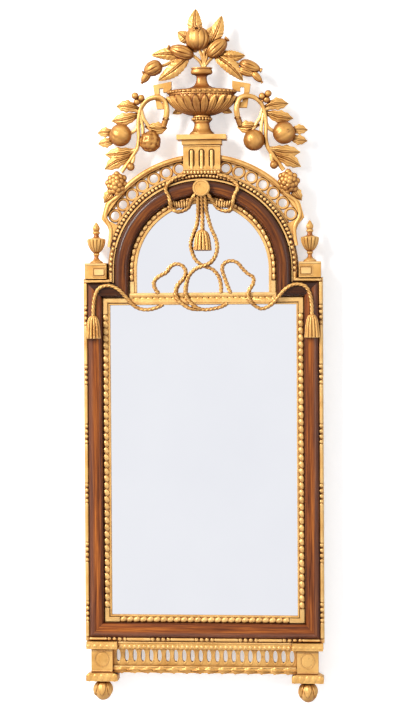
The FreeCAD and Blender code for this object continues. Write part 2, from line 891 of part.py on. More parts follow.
# Corner blocks on the shoulders and a small turned urn on each
corner_low = shoulder_top
corner_top = corner_low + d.corner_height
corner_half = d.corner_width / 2
corner_x = arch_edging + d.corner_gap + corner_half
finial_neck = d.finial_height * 0.27
finial_profile = [
    (0, 0),
    (d.finial_base_radius, 0),
    (d.finial_stem_radius, finial_neck * 0.3, d.finial_base_radius, -1),
    (d.finial_stem_radius, finial_neck * 0.5),
    (d.finial_radius, d.finial_height * 0.5, d.finial_height * 0.5, 1),
    (d.finial_stem_radius, d.finial_height * 0.66),
    (d.finial_tip_radius, d.finial_height * 0.73),
    (d.finial_stem_radius, d.finial_height * 0.78),
    (d.finial_tip_radius, d.finial_height * 0.86),
    (d.finial_tip_radius * 0.6, d.finial_height * 0.94),
    (0, d.finial_height),
]
corner_blocks = []
for side, flip in (("left", mirrored), ("right", list)):
    sign = 1 if side == "right" else -1
    block = new_body(f"corner_block_{side}")
    pad(block, f"corner_block_{side}", flip([
        (corner_x - corner_half, corner_low),
        (corner_x + corner_half, corner_low),
        (corner_x + corner_half, corner_top),
        (corner_x - corner_half, corner_top),
    ]), d.corner_back, d.corner_depth)
    corner_blocks.append(block)
    finial = new_body(f"side_urn_{side}")
    profile = new_sketch(finial, f"side_urn_{side}_profile", d.finial_axis, corner_top,
                         corner_x * sign)
    draw(profile, finial_profile)
    lathe = finial.newObject("PartDesign::Revolution", f"side_urn_{side}_turned")
    lathe.Profile = profile
    lathe.ReferenceAxis = (profile, ["V_Axis"])
    lathe.Angle = 360
    keep(finial, f"side_urn_{side}")
group("corner_blocks", corner_blocks)

# Apron under the frame: a pierced frieze between two foot blocks on ball feet
apron_low = frame_bottom - d.apron_height
foot_x = half_width - d.foot_inset
foot_inner = foot_x - d.foot_width / 2
foot_outer = foot_x + d.foot_width / 2
cornice_inner = foot_inner - d.foot_cornice_reach
cornice_outer = foot_outer + d.foot_cornice_reach
apron_top_low = frame_bottom - d.apron_top
apron = new_body("apron_frieze")
pad(apron, "apron_frieze", rectangle(foot_inner, apron_low, apron_top_low),
    d.apron_back, d.apron_depth)
pad(apron, "apron_top", rectangle(cornice_inner, apron_top_low, frame_bottom),
    d.apron_back, d.apron_depth + d.apron_moulding)
pad(apron, "apron_foot", rectangle(foot_inner, apron_low, apron_low + d.apron_foot),
    d.apron_back, d.apron_depth + d.apron_moulding)
slot_low = frame_bottom - d.slot_drop - d.slot_height
slot_pitch = (foot_inner * 2 - d.slot_margin) / d.slot_count
row_of_slots(apron, "slot", slot(slot_low, d.slot_width, d.slot_height),
             d.apron_back, d.apron_depth, slot_pitch, d.slot_count, False)
keep(apron, "apron_frieze")
base_low = apron_low - d.foot_base_height
base_shelf = apron_low - d.foot_base_height / 3
ball_feet = []
for side, flip in (("left", mirrored), ("right", list)):
    sign = 1 if side == "right" else -1
    foot = new_body(f"foot_block_{side}")
    pad(foot, f"foot_block_{side}", flip([
        (foot_inner, apron_low),
        (foot_outer, apron_low),
        (foot_outer, apron_top_low),
        (foot_inner, apron_top_low),
    ]), d.foot_back, d.foot_depth)
    pad(foot, f"foot_cornice_{side}", flip([
        (cornice_inner, apron_top_low),
        (cornice_outer, apron_top_low),
        (cornice_outer, frame_bottom),
        (cornice_inner, frame_bottom),
    ]), d.foot_back, d.foot_depth + d.foot_cornice_reach / 2)
    pad(foot, f"foot_base_{side}", flip([
        (foot_inner - d.foot_base_reach, base_low),
        (foot_outer + d.foot_base_reach, base_low),
        (foot_outer + d.foot_base_reach, base_shelf),
        (foot_outer, apron_low),
        (foot_inner, apron_low),
        (foot_inner - d.foot_base_reach, base_shelf),
    ]), d.foot_back, d.foot_depth + d.foot_base_reach / 2)
    keep(foot, f"foot_block_{side}")
    ball = new_body(f"ball_foot_{side}")
    profile = new_sketch(ball, f"ball_foot_{side}_profile", d.foot_back + d.foot_depth / 2,
                         base_low, foot_x * sign)
    meets = across(d.ball_radius, d.ball_neck_radius)
    draw(profile, [
        (0, 0),
        (0, -d.ball_neck_height - meets - d.ball_radius),
        (d.ball_radius, -d.ball_neck_height - meets, d.ball_radius, 1),
        (d.ball_neck_radius, -d.ball_neck_height, d.ball_radius, 1),
        (d.ball_neck_radius, 0),
    ])
    lathe = ball.newObject("PartDesign::Revolution", f"ball_foot_{side}_turned")
    lathe.Profile = profile
    lathe.ReferenceAxis = (profile, ["V_Axis"])
    lathe.Angle = 360
    ball_feet.append(ball)
group("ball_feet", ball_feet)


def spot(x, depth, z):
    return FreeCAD.Vector(number(x), -number(depth), number(z))


def rounded_corner(before, corner, after):
    # Arc that joins two runs, as wide as the shorter of them allows.
    share = 0.45
    to_before = (before - corner).normalize()
    to_after = (after - corner).normalize()
    half_angle = to_before.getAngle(to_after) / 2
    setback = share * min((before - corner).Length, (after - corner).Length)
    radius = setback * math.tan(half_angle)
    inwards = (to_before + to_after).normalize()
    middle = corner + inwards * (setback / math.cos(half_angle) - radius)
    return Part.Arc(corner + to_before * setback, middle, corner + to_after * setback)


def tube(points, radius):
    # A round length along straight runs joined by tangent arcs.
    edges = []
    start = points[0]
    for before, corner, after in zip(points, points[1:], points[2:]):
        arc = rounded_corner(before, corner, after)
        edges.append(Part.makeLine(start, arc.StartPoint))
        edges.append(arc.toShape())
        start = arc.EndPoint
    edges.append(Part.makeLine(start, points[-1]))
    ring = Part.makeCircle(number(radius), points[0], points[1] - points[0])
    return Part.Wire(edges).makePipeShell([Part.Wire([ring])], True, False)


def leaf(base, tip, width, depth, thickness):
    # A pointed leaf with two bowed sides, cut from a flat board.
    start = spot(base[0], depth, base[1])
    end = spot(tip[0], depth, tip[1])
    along = end - start
    side = FreeCAD.Vector(-along.z, 0, along.x).normalize() * (width / 2)
    middle = (start + end) / 2
    rim = Part.Wire([
        Part.Arc(start, middle + side, end).toShape(),
        Part.Arc(end, middle - side, start).toShape(),
    ])
    return Part.Face(rim).extrude(FreeCAD.Vector(0, -thickness, 0))


def pod(base, tip, radius, depth):
    # A bud or seed pod, turned in straight facets about the line from its base to its tip.
    start = spot(base[0], depth, base[1])
    end = spot(tip[0], depth, tip[1])
    along = end - start
    side = FreeCAD.Vector(-along.z, 0, along.x).normalize() * radius
    facets = ((0, 0), (0, 0.25), (0.2, 0.8), (0.5, 1), (0.8, 0.8), (1, 0.25), (1, 0), (0, 0))
    rim = Part.makePolygon([start + along * share + side * swell for share, swell in facets])
    solid = Part.Face(rim).revolve(start, along, 360)
    return solid if solid.Volume > 0 else solid.reversed()


def ball(centre, radius, depth, axis, turn=0):
    place = spot(centre[0], depth, centre[1])
    solid = Part.makeSphere(radius, place, axis)
    solid.rotate(place, axis, turn)
    return solid


def joined(pieces):
    return pieces[0].multiFuse(pieces[1:])


def seated(shape, carriers):
    # Cuts a carving to sit on what carries it.
    for carrier in carriers:
        shape = shape.cut(carrier.Shape)
    return shape


def flipped(points):
    return [(-point[0],) + tuple(point[1:]) for point in points]


doc.recompute()

# Boss on the crown of the arch, with the rope's swags, loops and tassels
mahogany_front = d.carcass_depth + d.mahogany_depth
boss_z = spring + (arch_sight + arch_mahogany) / 2
boss = doc.addObject("Part::Cylinder", "rope_boss_disc")
bind(boss, "Radius", d.boss_radius)
bind(boss, "Height", d.boss_depth)
boss.Placement.Rotation = FreeCAD.Rotation(FreeCAD.Vector(1, 0, 0), 90)
bind(boss, "Placement.Base.y", -mahogany_front)
bind(boss, "Placement.Base.z", boss_z)
keep(boss, "rope_boss")
doc.recompute()
on_mahogany = mahogany_front + d.rope_radius - 0.5
on_edging = d.carcass_depth + d.edging_depth + d.rope_radius - 0.5
on_bar = d.carcass_depth + d.bar_depth + d.rope_radius - 0.5
over_glass = d.carcass_depth + d.rope_radius + 4
tassel_depth = d.carcass_depth + d.tassel_radius * d.tassel_flatness + 2


def grown(length):
    # A length of the rope, drawn for a sight of radius 169, in step with the arch.
    return arch_sight * (length / 169)


def rope(points, carriers):
    # Points are (x, depth, z) with z counted from the spring of the arch. Below it only x grows.
    route = []
    for x, depth, z in points:
        route.append(spot(grown(x), depth, spring + (grown(z) if z > 0 else z)))
    return seated(tube(route, d.rope_radius), carriers)


def tassel(x, depth, top):
    # A bound head over a skirt that widens downwards.
    head = d.tassel_top_radius
    skirt = d.tassel_length
    return turned([
        (0, 0),
        (0, -skirt),
        (d.tassel_radius, -skirt),
        (head * 0.8, -skirt * 0.35),
        (head, -skirt * 0.2),
        (head * 0.7, 0),
    ], d.tassel_flatness, x, depth, top)


swag = [
    (36, on_edging, 216),
    (55, on_edging, 213),
    (69, on_edging, 204.5),
    (80, on_edging, 194),
    (82, on_mahogany, 182),
    (75, on_mahogany, 168),
    (72, on_mahogany, 153),
    (69, on_bar, 141),
    (60, on_bar, 134.5),
    (47, over_glass, 135.5),
    (34, over_glass, 142),
    (27, on_bar, 153),
    (19, on_mahogany, 166),
    (11, on_mahogany, 176),
]
swag_seats = [boss, plinth, mahogany_arch_left, mahogany_arch_right, edging_arch_left,
              edging_arch_right, arch_sight_left, arch_sight_right]
swags = [rope(swag, swag_seats), rope(flipped(swag), swag_seats)]
carved("rope_swags", Part.makeCompound(swags))

bar_rest = on_bar + 0.2
loop_depth = over_glass
loop_seats = [boss, bar, mahogany_arch_left, mahogany_arch_right, arch_sight_left, arch_sight_right]
left_strand = [
    (-8, on_mahogany, 168),
    (-9, on_bar, 140),
    (-10, loop_depth, 124),
    (-13, loop_depth, 103),
    (-21, loop_depth, 82),
    (-27, loop_depth, 61),
    (-24, loop_depth, 41),
    (-15, loop_depth, 22),
    (2, loop_depth, 9),
    (23, loop_depth, 1),
    (37, loop_depth, -16),
    (42, loop_depth, -36),
    (42, loop_depth, -56),
]
right_strand = [
    (8, on_mahogany, 168),
    (9, on_bar, 140),
    (12, loop_depth, 124),
    (20, loop_depth, 96),
    (30, loop_depth, 73),
    (34, loop_depth, 52),
    (29, loop_depth, 31),
    (16, on_bar, 15),
    (-2, on_bar, 8),
    (-18, loop_depth, 1),
    (-32, loop_depth, -14),
    (-38, bar_rest, -33),
    (-39, bar_rest, -53),
    (-31, bar_rest, -71),
    (-18, bar_rest, -84),
    (0, loop_depth, -91),
    (21, loop_depth, -90),
    (42, loop_depth, -85),
    (57, loop_depth, -77),
]
left_wave = [
    (-102, loop_depth, -54),
    (-111, loop_depth, -40),
    (-112, loop_depth, -26),
    (-102, loop_depth, -15),
    (-84, loop_depth, -5),
    (-74, loop_depth, 8),
    (-61, loop_depth, 14),
    (-47, loop_depth, 10),
    (-39, loop_depth, -3),
    (-43, loop_depth, -18),
    (-57, bar_rest, -34),
    (-62, bar_rest, -51),
    (-56, bar_rest, -68),
    (-44, bar_rest, -80),
    (-27, bar_rest, -89),
    (-6, loop_depth, -91),
]
right_wave = [
    (64, loop_depth, -54),
    (53, loop_depth, -25),
    (45, loop_depth, 2),
    (52, loop_depth, 16),
    (67, loop_depth, 20),
    (81, loop_depth, 15),
    (91, loop_depth, 3),
    (103, loop_depth, -9),
    (116, loop_depth, -18),
    (116, loop_depth, -32),
    (107, bar_rest, -47),
    (105, bar_rest, -61),
    (110, bar_rest, -73),
    (119, loop_depth, -83),
]
loops = joined([
    rope(points, loop_seats) for points in (left_strand, right_strand, left_wave)])
tassel_top = spring + grown(94)
centre_cord = rope([(0, on_mahogany, 168), (0, on_bar, 145), (0, loop_depth, 125),
                    (0, tassel_depth, 90)], loop_seats)
hung = joined([centre_cord, tassel(0, tassel_depth, tassel_top)])
centre_rope = carved("centre_rope", Part.makeCompound([loops, hung, rope(right_wave, loop_seats)]))

# Shoulder ropes, drawn by their reach from the sight of the arch
shoulder_points = [
    (-50, loop_depth, -83),
    (-35, loop_depth, -90),
    (-20, loop_depth, -86),
    (-6, bar_rest, -76),
    (5, bar_rest, -64),
    (21, on_mahogany, -46),
    (36, on_mahogany, -37),
    (52, on_mahogany, -35),
    (68, on_mahogany, -41),
    (77, on_mahogany, -57),
    (81, on_mahogany, -80),
    (82, on_mahogany, -108),
]
sight_returns = next(node for node in nodes if node.Label == "sight_top_returns")
shoulder_seats = [bar, sight_left, sight_right, sight_returns, mahogany_left, mahogany_right,
                  mahogany_shoulders, mahogany_arch_left, mahogany_arch_right, centre_rope]
for side, sign in (("left", -1), ("right", 1)):
    route = [spot((arch_sight + reach) * sign, depth, spring + z) for reach, depth, z in shoulder_points]
    end_reach, end_depth, end_z = shoulder_points[-1]
    skirt = tassel((arch_sight + end_reach) * sign, end_depth, spring + end_z + 4)
    length = tube(route, d.rope_radius)
    carved(f"shoulder_rope_{side}", seated(joined([length, skirt]), shoulder_seats))

# Bouquet of fruit, pods and leaves that stands in the urn, measured from the middle of its rim
leaf_depth = d.urn_axis - 7
leaf_thickness = 8
bouquet_leaves = [
    ((-9, 80), (-12.6, 132), 34),
    ((20, 55), (47, 116), 28),
    ((-25, 66), (-54, 83), 22),
    ((-40, 26), (-115, 31), 20),
    ((-34, 24), (-99, -27), 22),
    ((40, 27), (99, 26), 20),
    ((36, 26), (94, -30), 22),
]
bouquet_pods = [
    ((-78, 47), (-18, 27), 16),
    ((16, 24), (60, 64), 17),
    ((-92, 10), (-136, -13), 17),
    ((-120, -8), (-139, -34), 9),
    ((86, 10), (138, -10), 14),
    ((82, -4), (124, -20), 10),
    ((116, -12), (140, -37), 8),
]
bouquet_stems = [
    [(4, -3), (-4, 14), (-26, 33)],
    [(4, -3), (2, 20), (-6, 46)],
    [(4, -3), (6, 20), (5, 48)],
    [(4, -3), (10, 18), (18, 38)],
    [(4, -3), (14, 12), (28, 26)],
    [(-23, 25), (-46, 24), (-84, 8), (-104, 2)],
    [(24, 24), (48, 24), (78, 8), (100, 3)],
]
stem_radius = 4.5
pomegranate = (-9, 66)
pomegranate_radius = 27.5


def raised(point, z):
    # A point of a carving, lifted to where the carving stands.
    return point[0], point[1] + number(z)


def carving(leaves, pods, balls, z, turn=0):
    pieces = []
    for base, tip, width in leaves:
        pieces.append(leaf(raised(base, z), raised(tip, z), width, leaf_depth, leaf_thickness))
    for base, tip, radius in pods:
        pieces.append(pod(raised(base, z), raised(tip, z), radius, d.urn_axis))
    for centre, radius in balls:
        pieces.append(ball(raised(centre, z), radius, d.urn_axis, FreeCAD.Vector(0, 0, 1), turn))
    return pieces


bouquet = carving(bouquet_leaves, bouquet_pods, [], rim_z)
outwards = FreeCAD.Vector(0, -1, 0)
bouquet.append(ball(raised(pomegranate, rim_z), pomegranate_radius, d.urn_axis, outwards))
for points in bouquet_stems:
    route = [spot(x, d.urn_axis, z + rim_z.value) for x, z in points]
    bouquet.append(tube(route, stem_radius))
bouquet = joined(bouquet).cut(behind(d.urn_back))
carved("bouquet", seated(bouquet, [urn_bowl]))

# Garlands that hang from the handles down to the ears, measured from the top of the plinth's cap
garland_stem = [
    (88, 24, 24),
    (83, 28, 38),
    (80, 32, 58),
    (84, 33, 77),
    (97, 33, 87),
    (116, 31, 86),
    (131, 28, 77),
    (141, 25, 62),
    (146, 25, 40),
    (147, 25, 16),
    (146, 25, -6),
    (150, 25, -27),
    (161, 25, -45),
    (174, 25, -64),
    (187, 25, -82),
]
garland_twigs = [
    [(140, 62), (132, 40), (120, 22)],
    [(146, 18), (156, 10), (170, 4)],
    [(133, 68), (141, 80), (150, 86)],
]
garland_leaves = [
    ((142, 59), (198, 69), 22),
    ((144, 52), (209, 37), 24),
    ((200, 6), (242, 8), 17),
    ((200, -4), (241, -15), 17),
    ((128, 21), (83, 18), 20),
    ((152, -31), (225, -41), 26),
    ((162, -48), (226, -74), 24),
    ((206, -112), (227, -150), 20),
]
garland_balls = [
    ((188.5, 3), 25.5),
    ((119.5, -13), 25.5),
    ((165, -70), 9.5),
    ((139, 87), 8),
    ((153, 92), 8),
    ((149, 79), 8),
    ((190, -90), 11),
    ((208, -93), 11),
    ((184, -106), 11),
    ((201, -108), 12),
    ((217, -111), 10),
    ((193, -123), 11),
    ((209, -127), 11),
]
ball_turn = 50
for side, sign in (("left", -1), ("right", 1)):
    carriers = [urn_bowl]
    carriers += [node for node in nodes if node.Label in (f"urn_handle_{side}", f"gallery_cornice_{side}")]
    leaves = [((sign * base[0], base[1]), (sign * tip[0], tip[1]), width) for base, tip, width in garland_leaves]
    balls = [((sign * centre[0], centre[1]), radius) for centre, radius in garland_balls]
    pieces = carving(leaves, [], balls, cap_top, sign * ball_turn)
    route = [spot(sign * x, depth, z + cap_top.value) for x, depth, z in garland_stem]
    pieces.append(tube(route, stem_radius))
    for points in garland_twigs:
        route = [spot(sign * x, d.urn_axis, z + cap_top.value) for x, z in points]
        pieces.append(tube(route, stem_radius * 0.8))
    carved(f"garland_{side}", seated(joined(pieces).cut(behind(d.urn_back)), carriers))

# Hanging rings: a wire ring turns in the knuckle of a strap that is let into the stile
ring_side = d.ring_bar / 2 + d.ring_corner
ring_outline = [
    (d.ring_bar / 2, 0),
    (ring_side, -d.ring_corner, d.ring_corner, -1),
    (ring_side, ring_side - d.ring_drop),
    (0, -d.ring_drop, ring_side, -1),
    (-ring_side, ring_side - d.ring_drop, ring_side, -1),
    (-ring_side, -d.ring_corner),
    (-d.ring_bar / 2, 0, d.ring_corner, -1),
]
straps = []
screw_places = []
for sign, side in ((-1, "left"), (1, "right")):
    body = new_body(f"hanging_ring_{side}")
    spine = new_sketch(body, f"ring_path_{side}", hinge_depth, hanger_z, hanger_x * sign)
    draw(spine, ring_outline)
    section = body.newObject("Sketcher::SketchObject", f"ring_section_{side}")
    section.AttachmentSupport = [(origin_plane(body, "YZ_Plane"), "")]
    section.MapMode = "FlatFace"
    bind(section, "AttachmentOffset.Base.x", -hinge_depth)
    bind(section, "AttachmentOffset.Base.y", hanger_z)
    bind(section, "AttachmentOffset.Base.z", hanger_x * sign)
    wire = section.addGeometry(
        Part.Circle(FreeCAD.Vector(0, 0, 0), FreeCAD.Vector(0, 0, 1), d.ring_wire.value), False)
    section.addConstraint(Sketcher.Constraint("Coincident", wire, 3, -1, 1))
    gauge = section.addConstraint(Sketcher.Constraint("Radius", wire, d.ring_wire.value))
    bind(section, f"Constraints[{gauge}]", d.ring_wire)
    bent = body.newObject("PartDesign::AdditivePipe", f"ring_bent_{side}")
    bent.Profile = section
    bent.Spine = (spine, [f"Edge{index + 1}" for index in range(len(ring_outline))])
    keep(body, f"hanging_ring_{side}")

    tongue = doc.addObject("Part::Box", f"strap_tongue_{side}")
    bind(tongue, "Length", d.strap_width)
    bind(tongue, "Width", d.strap_thickness)
    bind(tongue, "Height", d.strap_length)
    bind(tongue, "Placement.Base.x", hanger_x * sign - d.strap_width / 2)
    bind(tongue, "Placement.Base.y", -d.recess_depth)
    bind(tongue, "Placement.Base.z", hanger_z)
    turn = FreeCAD.Rotation(FreeCAD.Vector(0, 1, 0), 90)
    barrels = []
    for name, radius in (("knuckle", knuckle_radius), ("eye", d.ring_wire + d.ring_running_gap)):
        barrel = doc.addObject("Part::Cylinder", f"strap_{name}_{side}")
        bind(barrel, "Radius", radius)
        bind(barrel, "Height", d.strap_width)
        barrel.Placement.Rotation = turn
        bind(barrel, "Placement.Base.x", hanger_x * sign - d.strap_width / 2)
        bind(barrel, "Placement.Base.y", -hinge_depth)
        bind(barrel, "Placement.Base.z", hanger_z)
        barrels.append(barrel)
    rolled = doc.addObject("Part::Fuse", f"strap_rolled_{side}")
    rolled.Base = tongue
    rolled.Tool = barrels[0]
    strap = doc.addObject("Part::Cut", f"strap_{side}")
    strap.Base = rolled
    strap.Tool = barrels[1]
    straps.append(strap)
    strap_face = d.recess_depth - d.strap_thickness
    for share in (0.45, 0.8):
        screw_places.append((hanger_x * sign, strap_face, hanger_z + d.strap_length * share))
group("hanger_straps", straps)

# Screws: round heads on the straps and along the edges of the boards
board_line = (open_x + board_x) / 2
arch_line = (open_arch + board_arch) / 2
for sign in (-1, 1):
    for row in range(block_rows):
        low = open_bottom + d.plate_height * (row + 0.2) / block_rows
        screw_places.append((board_line * sign, d.board_setback, low))
    screw_places.append((arch_line * sign, d.board_setback, spring / 2))
    for turn in (25, 65):
        sideways, upwards = polar(arch_line, turn)
        screw_places.append((sideways * sign, d.board_setback, spring + upwards))


def screw(name, x, face, z):
    parts = []
    for part, radius, length, back in (
            ("head", d.screw_head_radius, d.screw_head_height, face - d.screw_head_height),
            ("shank", d.screw_shank_radius, d.screw_length, face)):
        rod = doc.addObject("Part::Cylinder", f"{name}_{part}")
        bind(rod, "Radius", radius)
        bind(rod, "Height", length)
        rod.Placement.Rotation = FreeCAD.Rotation(FreeCAD.Vector(1, 0, 0), 90)
        bind(rod, "Placement.Base.x", x)
        bind(rod, "Placement.Base.y", -back)
        bind(rod, "Placement.Base.z", z)
        parts.append(rod)
    whole = doc.addObject("Part::Fuse", name)
    whole.Base, whole.Tool = parts
    return whole


group("screws", [screw("screw", *place) for place in screw_places])

doc.recompute()
for thing in doc.Objects:
    if "Invalid" in thing.State or "Error" in thing.State:
        raise RuntimeError(f"{thing.Label} did not build: {thing.State}")
for node in nodes:
    if node.Shape.isNull() or not node.Shape.isValid():
        raise RuntimeError(f"{node.Label} has no sound shape")
os.makedirs("parts", exist_ok=True)
for node in nodes:
    node.Shape.exportStep(f"parts/{node.Label}.step")
print(f"{len(nodes)} pieces written")
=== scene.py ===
import math
import bpy
import numpy as np
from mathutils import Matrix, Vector


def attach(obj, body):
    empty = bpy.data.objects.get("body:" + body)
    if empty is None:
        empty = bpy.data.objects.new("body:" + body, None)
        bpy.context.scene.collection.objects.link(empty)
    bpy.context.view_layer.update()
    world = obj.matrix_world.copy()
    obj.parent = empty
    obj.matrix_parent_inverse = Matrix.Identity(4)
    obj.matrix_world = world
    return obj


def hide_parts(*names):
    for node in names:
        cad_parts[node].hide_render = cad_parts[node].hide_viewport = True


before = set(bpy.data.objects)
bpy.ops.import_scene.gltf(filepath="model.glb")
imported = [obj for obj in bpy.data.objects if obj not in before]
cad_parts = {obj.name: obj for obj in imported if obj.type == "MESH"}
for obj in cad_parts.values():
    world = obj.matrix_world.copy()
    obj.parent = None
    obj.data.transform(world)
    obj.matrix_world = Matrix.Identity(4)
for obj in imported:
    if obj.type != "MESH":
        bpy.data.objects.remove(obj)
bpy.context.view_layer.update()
mm = 0.001
springZ = 66  # centre of the arch above the crossbar, mm
bothSides = (("left", -1), ("right", 1))
materials = {}
smoothAngle = math.radians(40)
sharpAngle = math.radians(50)


# a shape is its points (mm: x, depth from the wall, z) and its faces
def clearSelection():
    bpy.ops.object.select_all(action="DESELECT")


def addPiece(name, parts, nodes=(), material="gilt"):
    points, faces, base = [], [], 0
    for verts, polys in parts:
        points.append(np.asarray(verts, float))
        faces.extend([tuple(i + base for i in poly) for poly in polys])
        base += len(verts)
    cloud = np.vstack(points)
    cloud = np.column_stack([cloud[:, 0], -cloud[:, 1], cloud[:, 2]]) * mm
    mesh = bpy.data.meshes.new(name)
    mesh.from_pydata(cloud.tolist(), [], faces)
    piece = bpy.data.objects.new(name, mesh)
    bpy.context.scene.collection.objects.link(piece)
    clearSelection()
    bpy.context.view_layer.objects.active = piece
    piece.select_set(True)
    bpy.ops.object.mode_set(mode="EDIT")
    bpy.ops.mesh.select_all(action="SELECT")
    bpy.ops.mesh.normals_make_consistent(inside=False)
    bpy.ops.object.mode_set(mode="OBJECT")
    bpy.ops.object.shade_smooth_by_angle(angle=smoothAngle)
    mesh.materials.append(materials[material])
    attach(piece, "mirror")
    if nodes:
        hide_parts(*nodes)
    return piece


def grabShape():
    made = bpy.context.active_object
    verts = np.array([v.co[:] for v in made.data.vertices])
    polys = [tuple(p.vertices) for p in made.data.polygons]
    data = made.data
    bpy.data.objects.remove(made)
    bpy.data.meshes.remove(data)
    return verts, polys


def sphereShape(segments, rings):
    clearSelection()
    bpy.ops.mesh.primitive_uv_sphere_add(segments=segments, ring_count=rings, radius=1)
    return grabShape()


def torusShape(major, minor, ratio):
    clearSelection()
    bpy.ops.mesh.primitive_torus_add(major_segments=major, minor_segments=minor, major_radius=1,
                                     minor_radius=ratio)
    return grabShape()


def startCube(x0, x1, d0, d1, z0, z1):
    clearSelection()
    bpy.ops.mesh.primitive_cube_add(size=1, location=((x0 + x1) / 2, (d0 + d1) / 2, (z0 + z1) / 2),
                                    scale=(x1 - x0, d1 - d0, z1 - z0))
    bpy.ops.object.transform_apply(location=True, rotation=True, scale=True)


def pierce(wall):
    # front and back face are inset by the wall and joined through the solid
    bpy.ops.object.mode_set(mode="EDIT")
    bpy.ops.mesh.select_mode(type="FACE")
    bpy.ops.mesh.select_all(action="DESELECT")
    bpy.ops.object.mode_set(mode="OBJECT")
    for face in bpy.context.active_object.data.polygons:
        face.select = abs(face.normal.y) > 0.9
    bpy.ops.object.mode_set(mode="EDIT")
    bpy.ops.mesh.inset(thickness=wall)
    bpy.ops.mesh.bridge_edge_loops()
    bpy.ops.object.mode_set(mode="OBJECT")


def easeEdges(width):
    bpy.ops.object.mode_set(mode="EDIT")
    bpy.ops.mesh.select_mode(type="EDGE")
    bpy.ops.mesh.select_all(action="DESELECT")
    bpy.ops.mesh.edges_select_sharp(sharpness=sharpAngle)
    bpy.ops.mesh.bevel(offset=width, segments=1)
    bpy.ops.object.mode_set(mode="OBJECT")


def boxShape(x0, x1, d0, d1, z0, z1, edge):
    startCube(x0, x1, d0, d1, z0, z1)
    easeEdges(edge)
    return grabShape()


def frameShape(x0, x1, d0, d1, z0, z1, bar):
    startCube(x0, x1, d0, d1, z0, z1)
    pierce(bar)
    easeEdges(bar / 4)
    return grabShape()


def ringShape(inner, outer, back, front, edge, sides=32):
    # a flat ring round the depth axis
    clearSelection()
    bpy.ops.mesh.primitive_cylinder_add(vertices=sides, radius=outer, depth=front - back,
                                        location=(0, (back + front) / 2, 0), rotation=(math.pi / 2, 0, 0))
    bpy.ops.object.transform_apply(location=True, rotation=True, scale=True)
    pierce(outer - inner)
    easeEdges(edge)
    return grabShape()


def placed(shape, centre, scale=(1, 1, 1), turn=0):
    # scale (along, depth, across), turned in the picture plane by turn degrees
    verts, polys = shape
    out = verts * np.array(scale)
    c, s = math.cos(math.radians(turn)), math.sin(math.radians(turn))
    out = np.column_stack([c * out[:, 0] - s * out[:, 2], out[:, 1], s * out[:, 0] + c * out[:, 2]])
    return out + np.array(centre), polys


def gridFaces(rows, cols, closed=True):
    polys = []
    for r in range(rows - 1):
        for c in range(cols if closed else cols - 1):
            n = (c + 1) % cols
            polys.append((r * cols + c, r * cols + n, (r + 1) * cols + n, (r + 1) * cols + c))
    if closed:  # end caps
        polys.append(tuple(range(cols))[::-1])
        polys.append(tuple((rows - 1) * cols + c for c in range(cols)))
    return polys


def smoothLine(route, step):
    pts = np.asarray(route, float)
    ext = np.vstack([2 * pts[0] - pts[1], pts, 2 * pts[-1] - pts[-2]])
    out = []
    for k in range(1, len(ext) - 2):
        p0, p1, p2, p3 = ext[k - 1:k + 3]
        count = max(2, int(np.linalg.norm(p2 - p1) / step))
        for t in np.linspace(0, 1, count, endpoint=False):
            out.append(0.5 * (2 * p1 + (p2 - p0) * t + (2 * p0 - 5 * p1 + 4 * p2 - p3) * t ** 2
                              + (3 * p1 - p0 - 3 * p2 + p3) * t ** 3))
    out.append(pts[-1])
    return np.array(out)


def roundSweep(route, radius, sides=12, lobes=0, pitch=30, lobeDepth=0.25, step=2.5, ends=(1, 1)):
    # a round bar along a smooth line; lobes make twisted strands of that pitch
    line = smoothLine(route, step)
    tangent = np.gradient(line, axis=0)
    tangent /= np.linalg.norm(tangent, axis=1)[:, None]
    side = np.cross(tangent[0], (0, 1, 0))
    if np.linalg.norm(side) < 1e-3:
        side = np.array((1.0, 0, 0))
    angle = np.linspace(0, 2 * math.pi, sides, endpoint=False)
    run, rows = 0, []
    for k, point in enumerate(line):
        side = side - tangent[k] * side.dot(tangent[k])
        side /= np.linalg.norm(side)
        up = np.cross(side, tangent[k])
        if k:
            run += np.linalg.norm(point - line[k - 1])
        share = k / (len(line) - 1)
        size = radius * (ends[0] + (ends[1] - ends[0]) * share)
        r = np.full(sides, size)
        if lobes:
            phase = lobes / 2 * (angle + 2 * math.pi * run / (pitch * lobes))
            r = size * (1 - lobeDepth + lobeDepth * np.abs(np.cos(phase)))
        rows.append(point + np.outer(r * np.cos(angle), side) + np.outer(r * np.sin(angle), up))
    return np.vstack(rows), gridFaces(len(rows), sides)


def levelBar(x0, x1, d, z, radius, sides, step):
    return roundSweep([(x0, d, z), ((x0 + x1) / 2, d, z), (x1, d, z)], radius, sides, step=step)


def profileSweep(path, profile):
    # path (x, z) walked with the outside on its left; profile (outwards, depth), mitred at the corners
    pts = np.asarray(path, float)
    leg = np.diff(pts, axis=0)
    leg /= np.linalg.norm(leg, axis=1)[:, None]
    normal = np.column_stack([-leg[:, 1], leg[:, 0]])
    rows = []
    for k in range(len(pts)):
        a, b = normal[max(k - 1, 0)], normal[min(k, len(normal) - 1)]
        miter = (a + b) / (1 + a.dot(b))
        rows.append([(pts[k][0] + miter[0] * u, d, pts[k][1] + miter[1] * u) for u, d in profile])
    return np.array(rows).reshape(-1, 3), gridFaces(len(rows), len(profile))


def arcPath(radius, start, end, count):
    # angles in degrees from straight up towards +x
    turns = np.radians(np.linspace(start, end, count))
    return [(radius * math.sin(a), springZ + radius * math.cos(a)) for a in turns]


def arcSpots(radius, start, end, count):
    # places (x, z, turn) along the arch
    turns = np.linspace(start, end, count)
    return [(x, z, -turn) for (x, z), turn in zip(arcPath(radius, start, end, count), turns)]


def mirrored(path):
    # the left half of a path that is drawn for the right
    return [(-x, z) for x, z in path[::-1]]


